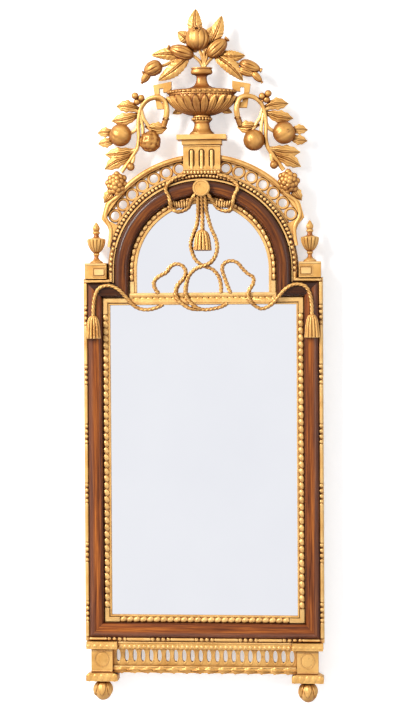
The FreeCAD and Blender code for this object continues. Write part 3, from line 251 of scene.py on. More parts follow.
def evenSpots(reach, count):
    return np.linspace(-reach, reach, count)


def lathe(profile, centre, flatness=1.0, sides=48, lobes=None, back=None):
    # profile (radius, z) about an upright axis; lobes(angle, row) scales the radius; back cuts it off flat
    angle = np.linspace(0, 2 * math.pi, sides, endpoint=False)
    x, depth, foot = centre
    rows = []
    for k, (r, z) in enumerate(profile):
        ring = np.full(sides, max(r, 0.05))
        if lobes:
            ring = ring * lobes(angle, k)
        rows.append(np.column_stack([x + ring * np.cos(angle), depth - flatness * ring * np.sin(angle),
                                     np.full(sides, foot + z)]))
    verts = np.vstack(rows)
    if back is not None:
        verts[:, 1] = np.maximum(verts[:, 1], back)
    return verts, gridFaces(len(rows), sides)


def leafShape(base, tip, width, depth, lift=6, style="oak", sway=0.0, teeth=4):
    # base and tip (x, z); a carved leaf with raised midrib, cut veins and a lobed or toothed rim
    rows, cols = 34, 25
    b, t = np.array(base, float), np.array(tip, float)
    along = t - b
    length = np.linalg.norm(along)
    along /= length
    across = np.array((-along[1], along[0]))
    front, rear = [], []
    for i in range(rows):
        s = i / (rows - 1)
        if style == "oak":
            swell = 0.16 + 0.84 * math.sin(math.pi * min(1, s ** 1.2))
            wide = swell * math.sqrt(max(0, 1 - s ** 8)) * width / 2
            notch = 1 - 0.17 * (0.5 + 0.5 * math.cos(2 * math.pi * (s * teeth + 0.35))) * min(1, s * 3)
        else:
            wide = 2.4 * (s + 0.02) ** 0.55 * (1 - s) ** 0.84 * width / 2 + 0.02 * width
            notch = 1 - 0.14 * ((s * teeth * 2.2) % 1) * min(1, s * 6)
        mid = b + along * length * s + across * sway * length * math.sin(math.pi * s)
        bow = depth + lift * math.sin(math.pi * s)
        fade = math.sin(math.pi * min(1, s * 1.08)) ** 0.5
        for j in range(cols):
            v = j / (cols - 1) * 2 - 1
            ahead = 0.09 * length * abs(v) * math.sin(math.pi * s) * (1 - s)
            p = mid + across * wide * notch * v + along * ahead
            if style == "oak":
                vein = -0.055 * width * fade * math.exp(-((abs(v) - 0.55) / 0.09) ** 2)
            else:
                q = s * teeth * 1.6 - abs(v) * 0.8
                cut = math.exp(-(((q + 0.5) % 1 - 0.5) / 0.13) ** 2) * min(1, abs(v) * 4)
                vein = -0.05 * width * cut * fade
            ridge = 0.05 * width * math.exp(-(v / 0.09) ** 2)
            ridge -= 0.06 * width * math.exp(-((abs(v) - 0.16) / 0.07) ** 2)
            dome = 0.15 * width * (1 - v * v) * math.sin(math.pi * min(1, s + 0.06)) ** 0.5
            front.append((p[0], bow + dome + (ridge + vein) * (1 - 0.6 * s), p[1]))
            rear.append((p[0], bow - 3.5 - 0.08 * width * (1 - abs(v)), p[1]))
    polys = gridFaces(rows, cols, False)
    count = rows * cols
    back = [tuple(i + count for i in poly[::-1]) for poly in polys]
    rim = [r * cols for r in range(rows)] + [(rows - 1) * cols + c for c in range(1, cols)]
    rim += [r * cols + cols - 1 for r in range(rows - 2, -1, -1)] + [c for c in range(cols - 2, 0, -1)]
    edge = [(a, n, n + count, a + count) for a, n in zip(rim, rim[1:] + rim[:1])]
    return np.array(front + rear), polys + back + edge


def grooves(angle, count, depth, sharp=3.0):
    # narrow cuts round a turned shape
    return 1 - depth * (1 - np.abs(np.sin(angle * count / 2))) ** sharp


def podShape(base, tip, radius, depth, ridges, sides=54):
    b, t = np.array(base, float), np.array(tip, float)
    along = t - b
    length = np.linalg.norm(along)
    along /= length
    across = np.array((-along[1], along[0]))
    angle = np.linspace(0, 2 * math.pi, sides, endpoint=False)
    stations = [(0, 0.10), (0.02, 0.34), (0.07, 0.60), (0.16, 0.84), (0.28, 0.97), (0.42, 1), (0.56, 0.95),
                (0.68, 0.82), (0.78, 0.64), (0.85, 0.46), (0.88, 0.30), (0.90, 0.27), (0.92, 0.36),
                (0.96, 0.42), (0.99, 0.34), (1, 0.06)]  # along, share of the radius
    rows = []
    for s, w in stations:
        r = radius * w * grooves(angle, ridges, 0.13 * min(1, 5 * s * max(0, 0.9 - s) + 0.05))
        x, z = b + along * length * s
        rows.append(np.column_stack([x + across[0] * r * np.cos(angle), depth + r * np.sin(angle),
                                     z + across[1] * r * np.cos(angle)]))
    return np.vstack(rows), gridFaces(len(rows), sides)


def fruitShape(centre, radius, depth, ridges, cutDepth, bumps=0, flat=0.85, turn=0):
    verts, polys = sphereHi
    r = np.ones(len(verts))
    round2 = np.sqrt(np.clip(1 - verts[:, 2] ** 2, 0, 1))
    lon = np.arctan2(verts[:, 1], verts[:, 0]) + 0.35
    r -= cutDepth * (1 - np.abs(np.sin(lon * ridges / 2))) ** 2.5 * round2 ** 0.6
    r -= cutDepth * np.exp(-((1 - verts[:, 2]) / 0.05) ** 2)
    if bumps:
        k = np.arange(bumps)
        z = 1 - 2 * (k + 0.5) / bumps
        a = k * math.pi * (3 - math.sqrt(5))
        dots = np.column_stack([np.sqrt(1 - z * z) * np.cos(a), np.sqrt(1 - z * z) * np.sin(a), z])
        near = (verts @ dots.T).max(axis=1)
        r += 0.12 * np.sqrt(np.clip(1 - (1 - near) * bumps / 2.2, 0, 1)) - 0.09
    size = (radius, radius * flat, radius)
    return placed((verts * r[:, None], polys), (centre[0], depth, centre[1]), size, turn)


sphereLow = sphereShape(10, 6)
sphereMid = sphereShape(20, 12)
sphereHi = sphereShape(56, 36)
ringLow = torusShape(28, 8, 0.25)
ringFlat = (ringLow[0][:, [0, 2, 1]], ringLow[1])
print("helpers ready")


# materials
def addNode(tree, kind):
    return tree.nodes.new("ShaderNode" + kind)


def newMaterial(name):
    material = bpy.data.materials.new(name)
    material.use_nodes = True
    tree = material.node_tree
    tree.nodes.clear()
    out = addNode(tree, "OutputMaterial")
    shader = addNode(tree, "BsdfPrincipled")
    tree.links.new(shader.outputs[0], out.inputs[0])
    materials[name] = material
    return tree, shader


def objectPlace(tree):
    return addNode(tree, "TexCoord").outputs["Object"]


def noiseNode(tree, vector, scale, detail, roughness=0.55):
    noise = addNode(tree, "TexNoise")
    noise.inputs["Scale"].default_value = scale
    noise.inputs["Detail"].default_value = detail
    noise.inputs["Roughness"].default_value = roughness
    tree.links.new(vector, noise.inputs["Vector"])
    return noise.outputs["Fac"]


def rampNode(tree, value, stops):
    # a stop's colour may be one grey level
    ramp = addNode(tree, "ValToRGB")
    while len(ramp.color_ramp.elements) < len(stops):
        ramp.color_ramp.elements.new(0.5)
    for element, (place, colour) in zip(ramp.color_ramp.elements, stops):
        element.position = place
        element.color = (*colour, 1) if isinstance(colour, tuple) else (colour, colour, colour, 1)
    tree.links.new(value, ramp.inputs[0])
    return ramp.outputs[0]


def mixNode(tree, kind, factor, first, second):
    mix = addNode(tree, "Mix")
    mix.data_type = "RGBA"
    mix.blend_type = kind
    if isinstance(factor, float):
        mix.inputs[0].default_value = factor
    else:
        tree.links.new(factor, mix.inputs[0])
    for socket, value in ((6, first), (7, second)):
        if isinstance(value, tuple):
            mix.inputs[socket].default_value = (*value, 1)
        else:
            tree.links.new(value, mix.inputs[socket])
    return mix.outputs[2]


def shaded(tree, colour, shade):
    return mixNode(tree, "MULTIPLY", 1.0, colour, shade)


def mathNode(tree, kind, value, by=None):
    node = addNode(tree, "Math")
    node.operation = kind
    tree.links.new(value, node.inputs[0])
    if isinstance(by, (int, float)):
        node.inputs[1].default_value = by
    elif by is not None:
        tree.links.new(by, node.inputs[1])
    return node.outputs[0]


def bumpNode(tree, height, strength, distance):
    bump = addNode(tree, "Bump")
    bump.inputs["Strength"].default_value = strength
    bump.inputs["Distance"].default_value = distance
    tree.links.new(height, bump.inputs["Height"])
    return bump.outputs[0]


# painted shade in recesses, from ambient occlusion
def recessShade(tree, distance, stops):
    shade = addNode(tree, "AmbientOcclusion")
    shade.samples = 8
    shade.inputs["Distance"].default_value = distance
    return rampNode(tree, shade.outputs["AO"], stops)


def fromMinusOne(tree, value):
    spread = addNode(tree, "MapRange")
    spread.inputs["From Min"].default_value = -1
    tree.links.new(value, spread.inputs["Value"])
    return spread.outputs[0]


# the edge level: how bright the painted highlight on the convex edges of a carved piece is, which also stands
# for rubbed gilding; plain solids have none
# the third gold is the painted shade colour of hollows and cuts
goldLight, goldDeep, goldHollowShade = (0.87, 0.50, 0.15), (0.68, 0.33, 0.07), (0.16, 0.05, 0.014)
gilding = {
    "gilt": {"light": goldLight, "deep": goldDeep, "hollowShade": goldHollowShade, "rough": 0.34, "wearAndHighlight": 0.5},
    "giltDark": {"light": (0.79, 0.415, 0.105), "deep": (0.48, 0.205, 0.04), "hollowShade": (0.09, 0.027, 0.007),
                 "rough": 0.36, "wearAndHighlight": 0.12, "shadedRims": True},
    "giltRope": {"light": (0.78, 0.43, 0.12), "deep": (0.56, 0.255, 0.053), "hollowShade": (0.09, 0.026, 0.007),
                 "rough": 0.34, "wearAndHighlight": 0.5},
    "giltPlain": {"light": goldLight, "deep": goldDeep, "hollowShade": goldHollowShade, "rough": 0.34},
}
woodRed, highlightGold = (0.36, 0.13, 0.03), (0.98, 0.70, 0.32)  # worn through, and the painted highlight of rubbed edges


def giltMaterial(name, light, deep, hollowShade, rough, wearAndHighlight=0, shadedRims=False):
    tree, shader = newMaterial(name)
    place = objectPlace(tree)
    patches = noiseNode(tree, place, 26, 6)
    colour = rampNode(tree, patches, [(0.34, deep), (0.60, light)])
    wear = rampNode(tree, noiseNode(tree, place, 95, 5, 0.7), [(0.60, 0), (0.74, 0.75)])
    colour = mixNode(tree, "MIX", wear, colour, woodRed)
    if wearAndHighlight:  # carved meshes are fine enough to read edges and cuts from their curvature: the edges get a painted highlight, also standing for rubbed gilding, and the cuts get painted shade
        curve = addNode(tree, "NewGeometry").outputs["Pointiness"]
        colour = mixNode(tree, "MIX", rampNode(tree, curve, [(0.53, 0), (0.62, wearAndHighlight)]), colour, highlightGold)
        # painted shade: the concave cuts are darkened
        cutShade = [(0.432, hollowShade), (0.470, (0.58, 0.38, 0.22)), (0.494, 1)]
        colour = shaded(tree, colour, rampNode(tree, curve, cutShade))
    facing = addNode(tree, "SeparateXYZ")
    tree.links.new(addNode(tree, "NewGeometry").outputs["Normal"], facing.inputs[0])
    # painted shade: faces turned down are darker
    undersideShade = [(0.05, (0.50, 0.40, 0.32)), (0.45, (0.96, 0.95, 0.94)), (0.75, 1)]
    colour = shaded(tree, colour, rampNode(tree, fromMinusOne(tree, facing.outputs[2]), undersideShade))
    if shadedRims:  # painted light on fruit and urn: brighter where they face the front, painted shade round their sides
        sides = [(0.02, 1), (0.20, (0.70, 0.57, 0.44)), (0.50, (0.36, 0.22, 0.13))]
        colour = shaded(tree, colour, rampNode(tree, fromMinusOne(tree, facing.outputs[1]), sides))
    # painted shade in narrow and in wide recesses
    narrowShade = [(0.36, hollowShade), (0.62, (0.62, 0.42, 0.26)), (0.86, 1)]
    wide = [(0.14, (0.60, 0.46, 0.34)), (0.56, 1)]
    for distance, stops in ((0.006, narrowShade), (0.035, wide)):
        colour = shaded(tree, colour, recessShade(tree, distance, stops))
    tree.links.new(colour, shader.inputs["Base Color"])
    gloss = rampNode(tree, patches, [(0.3, rough - 0.07), (0.7, rough + 0.1)])
    tree.links.new(gloss, shader.inputs["Roughness"])
    shader.inputs["Metallic"].default_value = 0.35
    grit = noiseNode(tree, place, 200, 6)
    tree.links.new(bumpNode(tree, grit, 0.45, 0.0016), shader.inputs["Normal"])


for name, finish in gilding.items():
    giltMaterial(name, **finish)


halvesPerMetre = 58  # half widths of a mahogany moulding in a metre
# colour of the painted violet sheen
sheenShares = (0.42, 0.84, 3.528)  # of the middle tone's red, green and blue


def woodMaterial(name, grain, tones, coat, rough, grainScale, middle=None, outward=1):
    # tones dark, middle, light; grain runs along "x", "z" or the arch;
    # middle is a moulding's centre line in metres; the moulding gets painted shade towards both edges and a
    # painted violet sheen on its outer half
    tree, shader = newMaterial(name)
    split = addNode(tree, "SeparateXYZ")
    tree.links.new(objectPlace(tree), split.inputs[0])
    x, y, z = split.outputs
    join = addNode(tree, "CombineXYZ")
    if grain == "arch":
        rise = mathNode(tree, "SUBTRACT", z, springZ * mm)
        flat = addNode(tree, "CombineXYZ")
        tree.links.new(x, flat.inputs[0])
        tree.links.new(mathNode(tree, "MAXIMUM", rise, 0.0), flat.inputs[1])
        length = addNode(tree, "VectorMath")
        length.operation = "LENGTH"
        tree.links.new(flat.outputs[0], length.inputs[0])
        offset = length.outputs["Value"]
        tree.links.new(mathNode(tree, "MULTIPLY", offset, grainScale), join.inputs[0])
        tree.links.new(mathNode(tree, "MULTIPLY", mathNode(tree, "ARCTAN2", x, rise), 0.9), join.inputs[2])
    else:
        acrossX, acrossZ = (grainScale, 3) if grain == "z" else (3, grainScale)
        tree.links.new(mathNode(tree, "MULTIPLY", x, acrossX), join.inputs[0])
        tree.links.new(mathNode(tree, "MULTIPLY", z, acrossZ), join.inputs[2])
        offset = mathNode(tree, "ABSOLUTE", x) if grain == "z" else z
    tree.links.new(mathNode(tree, "MULTIPLY", y, grainScale), join.inputs[1])
    lines = noiseNode(tree, join.outputs[0], 2.3, 7, 0.62)
    fine = noiseNode(tree, join.outputs[0], 7, 6, 0.65)
    colour = rampNode(tree, lines, list(zip((0.30, 0.50, 0.68), tones)))
    colour = mixNode(tree, "OVERLAY", 0.35, colour, rampNode(tree, fine, [(0.3, 0.2), (0.7, 0.8)]))
    # painted shade in the wood's recesses
    woodHollowShade = [(0.30, (0.18, 0.14, 0.13)), (0.68, (0.82, 0.8, 0.8)), (0.92, 1)]
    colour = shaded(tree, colour, recessShade(tree, 0.006 if middle is None else 0.016, woodHollowShade))
    if middle is not None:
        away = mathNode(tree, "SUBTRACT", offset, middle)
        # painted shade: the cushion moulding darkens towards both edges
        rim = [(0.45, 1), (0.78, (0.62, 0.55, 0.53)), (0.99, (0.27, 0.21, 0.19))]
        reach = mathNode(tree, "MULTIPLY", mathNode(tree, "ABSOLUTE", away), halvesPerMetre)
        colour = shaded(tree, colour, rampNode(tree, reach, rim))
        # painted violet sheen on the moulding's outer half
        outer = mathNode(tree, "MULTIPLY", away, halvesPerMetre * outward)
        violetSheen = rampNode(tree, outer, [(0.10, 0), (0.45, 0.55), (0.90, 0.30)])
        sheenColour = tuple(share * part for share, part in zip(sheenShares, tones[1]))
        colour = mixNode(tree, "MIX", violetSheen, colour, sheenColour)
    tree.links.new(colour, shader.inputs["Base Color"])
    shader.inputs["Roughness"].default_value = rough
    shader.inputs["Coat Weight"].default_value = coat
    shader.inputs["Specular IOR Level"].default_value = 0.14
    shader.inputs["Coat Roughness"].default_value = 0.13
    tree.links.new(bumpNode(tree, fine, 0.12, 0.0006), shader.inputs["Normal"])


mahogany = {  # grain, centre line, how light, which way is out
    "stile": ("z", 0.24875, 1, 1), "bottom": ("x", -0.76225, 1.1, -1),
    "shoulder": ("x", 0.02025, 0.2, 1), "arch": ("arch", 0.18625, 0.54, 1)}
mahoganyTones = ((0.06, 0.013, 0.004), (0.26, 0.066, 0.013), (0.52, 0.158, 0.026))
for name, (grain, middle, level, outward) in mahogany.items():
    tones = [tuple(level * part for part in tone) for tone in mahoganyTones]
    woodMaterial("mahogany_" + name, grain, tones, 0.2, 0.32, 110, middle, outward)
pineTones = ((0.30, 0.17, 0.075), (0.44, 0.27, 0.125), (0.55, 0.36, 0.18))
for grain in ("z", "x", "arch"):
    woodMaterial("pine_" + grain, grain, pineTones, 0.0, 0.65, 45)
woodMaterial("boards", "z", ((0.22, 0.13, 0.065), (0.36, 0.22, 0.11), (0.46, 0.30, 0.16)), 0.0, 0.75, 35)

tree, shader = newMaterial("mirror")
cloud = noiseNode(tree, objectPlace(tree), 3.0, 4)
silver = rampNode(tree, cloud, [(0.3, (0.82, 0.83, 0.88)), (0.7, (0.85, 0.86, 0.905))])
tree.links.new(silver, shader.inputs["Base Color"])
tree.links.new(rampNode(tree, cloud, [(0.3, 0.02), (0.7, 0.05)]), shader.inputs["Roughness"])
shader.inputs["Metallic"].default_value = 1.0

for name, tone, rough, metal in (("iron", 0.035, 0.55, 0.7), ("steel", 0.30, 0.38, 1.0)):
    tree, shader = newMaterial(name)
    grit = noiseNode(tree, objectPlace(tree), 300, 5)
    shade = rampNode(tree, grit, [(0.3, tone * 0.6), (0.7, (tone * 1.3, tone * 1.2, tone * 1.1))])
    tree.links.new(shade, shader.inputs["Base Color"])
    shader.inputs["Roughness"].default_value = rough
    shader.inputs["Metallic"].default_value = metal
    tree.links.new(bumpNode(tree, grit, 0.3, 0.0005), shader.inputs["Normal"])
print("materials ready")


def cadMaterial(node):
    if node.startswith("mahogany"):
        return "mahogany_" + next((part for part in ("arch", "bottom", "shoulder") if part in node), "stile")
    if node.startswith("carcass"):
        return "pine_" + ("arch" if "arch" in node else "x" if "rail" in node else "z")
    if node == "glass_blocks":
        return "pine_z"
    if node.endswith("backboard"):
        return "boards"
    if node.endswith("mirror_plate"):
        return "mirror"
    if node.startswith("hang"):
        return "iron"
    return "steel" if node == "screws" else "giltPlain"


for node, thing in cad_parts.items():
    for slot in thing.material_slots:
        slot.material = materials[cadMaterial(node)]

# stage: a pale wall seen only from its front, a pale floor, soft light
stage = {"size": 9, "wall": 0.012, "floor": -1.6, "paint": (0.86, 0.86, 0.87), "glow": 0.50, "dim": 0.30}
bpy.ops.mesh.primitive_plane_add(size=stage["size"], location=(0, stage["wall"], 0),
                                 rotation=(math.radians(90), 0, 0))
wall = bpy.context.active_object
wall.name = "stage_wall"
bpy.ops.mesh.primitive_plane_add(size=stage["size"], location=(0, 0, stage["floor"]))
floor = bpy.context.active_object
floor.name = "stage_floor"
paint = bpy.data.materials.new("stage_paint")
paint.use_nodes = True
tree = paint.node_tree
tree.nodes.clear()
out = addNode(tree, "OutputMaterial")
diffuse = addNode(tree, "BsdfDiffuse")
diffuse.inputs[0].default_value = (*stage["paint"], 1)
glow = addNode(tree, "Emission")
path = addNode(tree, "LightPath")
tree.links.new(mathNode(tree, "MULTIPLY", path.outputs["Is Camera Ray"], stage["glow"]), glow.inputs[1])
both = addNode(tree, "AddShader")
tree.links.new(diffuse.outputs[0], both.inputs[0])
tree.links.new(glow.outputs[0], both.inputs[1])
clear = addNode(tree, "BsdfTransparent")
sided = addNode(tree, "MixShader")
behind = addNode(tree, "NewGeometry").outputs["Backfacing"]
tree.links.new(mathNode(tree, "MAXIMUM", behind, path.outputs["Is Shadow Ray"]), sided.inputs[0])
tree.links.new(both.outputs[0], sided.inputs[1])
tree.links.new(clear.outputs[0], sided.inputs[2])
tree.links.new(sided.outputs[0], out.inputs[0])
for thing in (wall, floor):
    thing.data.materials.append(paint)

world = bpy.data.worlds.new("studio")
bpy.context.scene.world = world
world.use_nodes = True
tree = world.node_tree
tree.nodes.clear()
out = addNode(tree, "OutputWorld")
sky = addNode(tree, "Background")
path = addNode(tree, "LightPath")
level = addNode(tree, "MapRange")
level.inputs["To Min"].default_value = stage["dim"]
level.inputs["To Max"].default_value = 1.0
seen = mathNode(tree, "MAXIMUM", path.outputs["Is Camera Ray"], path.outputs["Is Glossy Ray"])
tree.links.new(seen, level.inputs["Value"])
tree.links.new(level.outputs[0], sky.inputs[1])
sky.inputs[0].default_value = (1, 1, 1, 1)
tree.links.new(sky.outputs[0], out.inputs[0])


def areaLight(name, place, aim, size, watts, tint):
    lamp = bpy.data.lights.new(name, "AREA")
    lamp.shape = "RECTANGLE"
    lamp.size, lamp.size_y = size
    lamp.energy = watts
    lamp.color = tint
    holder = bpy.data.objects.new(name, lamp)
    bpy.context.scene.collection.objects.link(holder)
    holder.location = place
    holder.rotation_euler = (Vector(aim) - Vector(place)).to_track_quat("-Z", "Y").to_euler()


lights = {
    "key": {"place": (-2.0, -2.2, 1.5), "aim": (0, 0, -0.05), "size": (0.5, 1.9), "watts": 128,
            "tint": (1, 0.98, 0.95)},
    "fill": {"place": (2.3, -2.4, 0.2), "aim": (0, 0, -0.2), "size": (0.4, 2.2), "watts": 16,
             "tint": (0.96, 0.98, 1)},
    "back": {"place": (0.9, 2.4, 1.0), "aim": (0, 0, -0.1), "size": (2.0, 2.0), "watts": 34,
             "tint": (0.72, 0.86, 1)},
}
for name, lamp in lights.items():
    areaLight(name, **lamp)

view = {"sensor": 36, "lens": 92.42, "place": (0.3764, -4.2552, -0.0695), "turn": (1.554, 0.0057, 0.0904)}
lens = bpy.data.cameras.new("view")
lens.sensor_width = view["sensor"]
lens.lens = view["lens"]
camera = bpy.data.objects.new("view", lens)
bpy.context.scene.collection.objects.link(camera)
camera.location = view["place"]
camera.rotation_euler = view["turn"]
bpy.context.scene.camera = camera
bpy.context.scene.view_settings.view_transform = "Standard"
print("stage ready")

# sight mouldings: slip, sunk channel and a row of olives, plain at the corners
sight = {"x": 214.5, "top": -14, "foot": -728, "return": 169, "slip": 4.7, "row": 11.3, "depth": 30,
         "olive": (9.2, 5.3, 7.2), "lean": 26, "uprights": 42, "uprightEnds": (-704, -42),
         "levels": 25, "levelReach": 188, "plainTop": -34, "plainFoot": -712, "plainLevel": 196}
sightArch = {"radius": 152, "foot": 14, "slip": 7.4, "row": 12.4, "olive": (8.3, 5.2, 5.3),
             "count": 35, "reach": 91, "lastOlive": 49, "plainTop": 40}
plainProfile = [(5, 28.5), (5.3, 33), (6.6, 34.2), (15.4, 34.2), (16.6, 33), (16.9, 28.5)]
oliveShape = (np.sign(sphereLow[0]) * np.abs(sphereLow[0]) ** np.array((0.72, 1, 0.8)), sphereLow[1])


def sightProfile(slip):
    # the slip's width, then the channel behind the olives
    return [(0, 26.4), (0, 30), (1, 31.4), (slip - 1.3, 31.6), (slip - 0.5, 30.7), (slip, 30.3),
            (17, 30.3), (17, 26.4)]


def oliveRow(places, size, lean=0):
    # places (x, z, turn)
    return [placed(oliveShape, (x, sight["depth"], z), size, turn + lean) for x, z, turn in places]


plateX, plateTop, plateFoot, inner = sight["x"], sight["top"], sight["foot"], sight["return"]
rightHalf = [(inner, plateTop), (plateX, plateTop), (plateX, plateFoot)]
parts = [profileSweep(rightHalf + mirrored(rightHalf), sightProfile(sight["slip"]))]
for sign in (-1, 1):
    x = sign * (plateX + sight["row"])
    upright = [(x, z, 90) for z in np.linspace(*sight["uprightEnds"], sight["uprights"])]
    parts += oliveRow(upright, sight["olive"], sight["lean"])
level = [(x, plateFoot - sight["row"], 0) for x in evenSpots(sight["levelReach"], sight["levels"])]
parts += oliveRow(level, sight["olive"], sight["lean"])
topCorner = [(inner, plateTop), (plateX, plateTop), (plateX, sight["plainTop"])]
footCorner = [(plateX, sight["plainFoot"]), (plateX, plateFoot), (sight["plainLevel"], plateFoot)]
for corner in (topCorner, footCorner, mirrored(footCorner), mirrored(topCorner)):
    parts.append(profileSweep(corner, plainProfile))
addPiece("sightLower", parts, ("sight_left", "sight_right", "sight_bottom", "sight_top_returns"))

archR, archFoot, reach = sightArch["radius"], sightArch["foot"], sightArch["reach"]
archInner = [(-archR, archFoot)] + arcPath(archR, -90, 90, 73) + [(archR, archFoot)]
parts = [profileSweep(archInner, sightProfile(sightArch["slip"]))]
rowR = archR + sightArch["row"]
places = arcSpots(rowR, -reach, reach, sightArch["count"])
places += [(sign * rowR, sightArch["lastOlive"], 90) for sign in (-1, 1)]
parts += oliveRow(places, sightArch["olive"])
leg = [(archR, sightArch["plainTop"]), (archR, archFoot)]
parts += [profileSweep(mirrored(leg), plainProfile), profileSweep(leg, plainProfile)]
addPiece("sightArch", parts, ("sight_arch_left", "sight_arch_right"))
print("sight mouldings ready")

# outer edging: groups of four pearls between plain rolls
edging = {"x": 266, "top": 37.5, "foot": -779.5, "inner": 206, "depth": 34.8, "centre": 3.9,
          "pearl": (5.6, 4.8, 5.6), "spots": (-18.3, -6.1, 6.1, 18.3), "gap": 26, "roll": 4.9,
          "side": (-33, 775), "sideFirst": 38, "sidePitch": 136.2, "sideGroups": 6,
          "level": (-262, 262), "levelReach": 202, "levelGroups": 5, "shoulder": (216, 268)}
edgeProfile = [(0, 26.4), (0, 33), (0.8, 34.2), (8.7, 34.2), (9.5, 33), (9.5, 26.4)]


def edgeRun(groups, ends, origin, way):
    # the middles of the pearl groups and the run's two ends are measured from the origin along the way
    def point(t):
        return np.array(origin) + t * np.array(way)

    parts = []
    marks = [ends[0]] + [g + s for g in groups for s in (-edging["gap"], edging["gap"])] + [ends[1]]
    for g in groups:
        parts += [placed(sphereLow, point(g + s), edging["pearl"]) for s in edging["spots"]]
    for a, b in zip(marks[0::2], marks[1::2]):
        parts.append(roundSweep([point(a), point((a + b) / 2), point(b)], edging["roll"], 10, step=40))
        parts += [placed(sphereLow, point(t), (edging["roll"],) * 3) for t in (a, b)]
    return parts


edgeX, edgeTop, edgeFoot, edgeDepth = edging["x"], edging["top"], edging["foot"], edging["depth"]
rightHalf = [(edging["inner"], edgeTop), (edgeX, edgeTop), (edgeX, edgeFoot)]
parts = [profileSweep(rightHalf + mirrored(rightHalf), edgeProfile)]
groups = [edging["sideFirst"] + edging["sidePitch"] * k for k in range(edging["sideGroups"])]
for sign in (-1, 1):
    parts += edgeRun(groups, edging["side"], (sign * (edgeX + edging["centre"]), edgeDepth, 0), (0, 0, -1))
groups = evenSpots(edging["levelReach"], edging["levelGroups"])
parts += edgeRun(groups, edging["level"], (0, edgeDepth, edgeFoot - edging["centre"]), (1, 0, 0))
for sign in (-1, 1):
    parts += edgeRun([], edging["shoulder"], (0, edgeDepth, edgeTop + edging["centre"]), (sign, 0, 0))
addPiece("edgingLower", parts, ("edging_left", "edging_right", "edging_bottom", "edging_shoulders"))

# edging of the arch: a bead row over the top, narrower legs with a short roll; angles from straight up
archEdge = {"radius": 203.5, "reach": 76, "beadRow": 214.5, "beadReach": 70, "beads": 56, "beadDepth": 32.5,
            "bead": (4.8, 4.7, 4.6), "legTop": 75, "legRow": 211.6, "legEnds": (73.4, 89.4), "legBeads": 6,
            "legDepth": 34, "legBead": (5.2, 4.4, 4.4), "rollX": 211.4, "rollRun": (40, 50, 60), "roll": 3.8}
wideEdge = [(0, 26.4), (0, 35), (1.2, 37), (4.6, 37), (5.8, 35), (6.4, 31.2), (15.6, 31.2), (16.2, 33.5),
            (17, 33.5), (17, 26.4)]
legEdge = [(0, 26.4), (0, 35), (1.2, 37), (3, 37), (3.8, 33), (12.6, 33), (13, 26.4)]
edgeR, reach = archEdge["radius"], archEdge["beadReach"]
parts = [profileSweep(arcPath(edgeR, -archEdge["reach"], archEdge["reach"], 77), wideEdge)]
leg = arcPath(edgeR, archEdge["legTop"], 90, 9) + [(edgeR, edgeTop)]
parts += [profileSweep(mirrored(leg), legEdge), profileSweep(leg, legEdge)]
for x, z, turn in arcSpots(archEdge["beadRow"], -reach, reach, archEdge["beads"]):
    parts.append(placed(sphereLow, (x, archEdge["beadDepth"], z), archEdge["bead"], turn))
for sign in (-1, 1):
    first, last = (sign * end for end in archEdge["legEnds"])
    for x, z, turn in arcSpots(archEdge["legRow"], first, last, archEdge["legBeads"]):
        parts.append(placed(sphereLow, (x, archEdge["legDepth"], z), archEdge["legBead"], turn))
    line = [(sign * archEdge["rollX"], archEdge["legDepth"], z) for z in archEdge["rollRun"]]
    parts.append(roundSweep(line, archEdge["roll"], 10, step=10))
addPiece("edgingArch", parts, ("edging_arch_left", "edging_arch_right"))
print("edging ready")

# pierced ring gallery and the roll on its cornice
gallery = {"row": 239, "ends": (13, 58), "count": 7, "hole": 9.7, "outer": 15.9, "back": 13, "front": 23.5,
           "ease": 2.2, "rollDepth": 31.2, "roll": 4.2}
innerBand = [(0, 13), (0, 22), (1, 24), (5.6, 24), (6.6, 22), (6.6, 13)]
outerBand = [(0, 13), (0, 21), (5.5, 21), (5.5, 13)]
bands = ((219.5, (10.4, 66), innerBand), (249.5, (9.6, 60), outerBand))  # radius, end angles, profile
corniceLine = [(259.6, t) for t in np.linspace(10.2, 50, 22)]  # radius and angle, down to the ear
corniceLine += [(264.5, 54.5), (257.5, 60.5), (245, 63), (233.5, 65.2), (225.5, 70), (222, 76)]
galleryRing = ringShape(gallery["hole"], gallery["outer"], gallery["back"], gallery["front"], gallery["ease"])
for side, sign in bothSides:
    first, last = (sign * end for end in gallery["ends"])
    holes = arcPath(gallery["row"], first, last, gallery["count"])
    parts = [placed(galleryRing, (x, 0, z)) for x, z in holes]
    for radius, ends, band in bands:
        parts.append(profileSweep(arcPath(radius, *sorted(sign * end for end in ends), 40), band))
    addPiece("ringGallery_" + side, parts, ("ring_gallery_" + side,))
    run = []
    for radius, turn in corniceLine:
        x, z = arcPath(radius, sign * turn, sign * turn, 1)[0]
        run.append((x, gallery["rollDepth"], z))
    addPiece("corniceRoll_" + side, [roundSweep(run, gallery["roll"], 12, step=4)])
print("gallery ready")

# crossbar with a row of small punched dots
crossbar = {"reach": 169, "low": -14, "dots": 23, "dotReach": 158, "dotRow": 2.2, "dotDepth": 37.3,
            "dot": (1.9, 2.6, 1.9)}
barProfile = [(0, 26.4), (0, 33), (1.2, 34.6), (3, 35), (4.4, 34.9), (5.2, 35.7), (24, 36), (26, 35.7),
              (27.4, 34.6), (28, 33), (28, 26.4)]
barPath = [(-crossbar["reach"], crossbar["low"]), (crossbar["reach"], crossbar["low"])]
bar = addPiece("crossbarCarved", [profileSweep(barPath, barProfile)], ("crossbar",))
dots = [placed(sphereMid, (x, crossbar["dotDepth"], crossbar["dotRow"]), crossbar["dot"])
        for x in evenSpots(crossbar["dotReach"], crossbar["dots"])]
cutter = addPiece("punch", dots)
cut = bar.modifiers.new("dots", "BOOLEAN")
cut.object = cutter
cut.operation = "DIFFERENCE"
clearSelection()
bpy.context.view_layer.objects.active = bar
bar.select_set(True)
bpy.ops.object.modifier_apply(modifier=cut.name)
bpy.data.objects.remove(cutter)

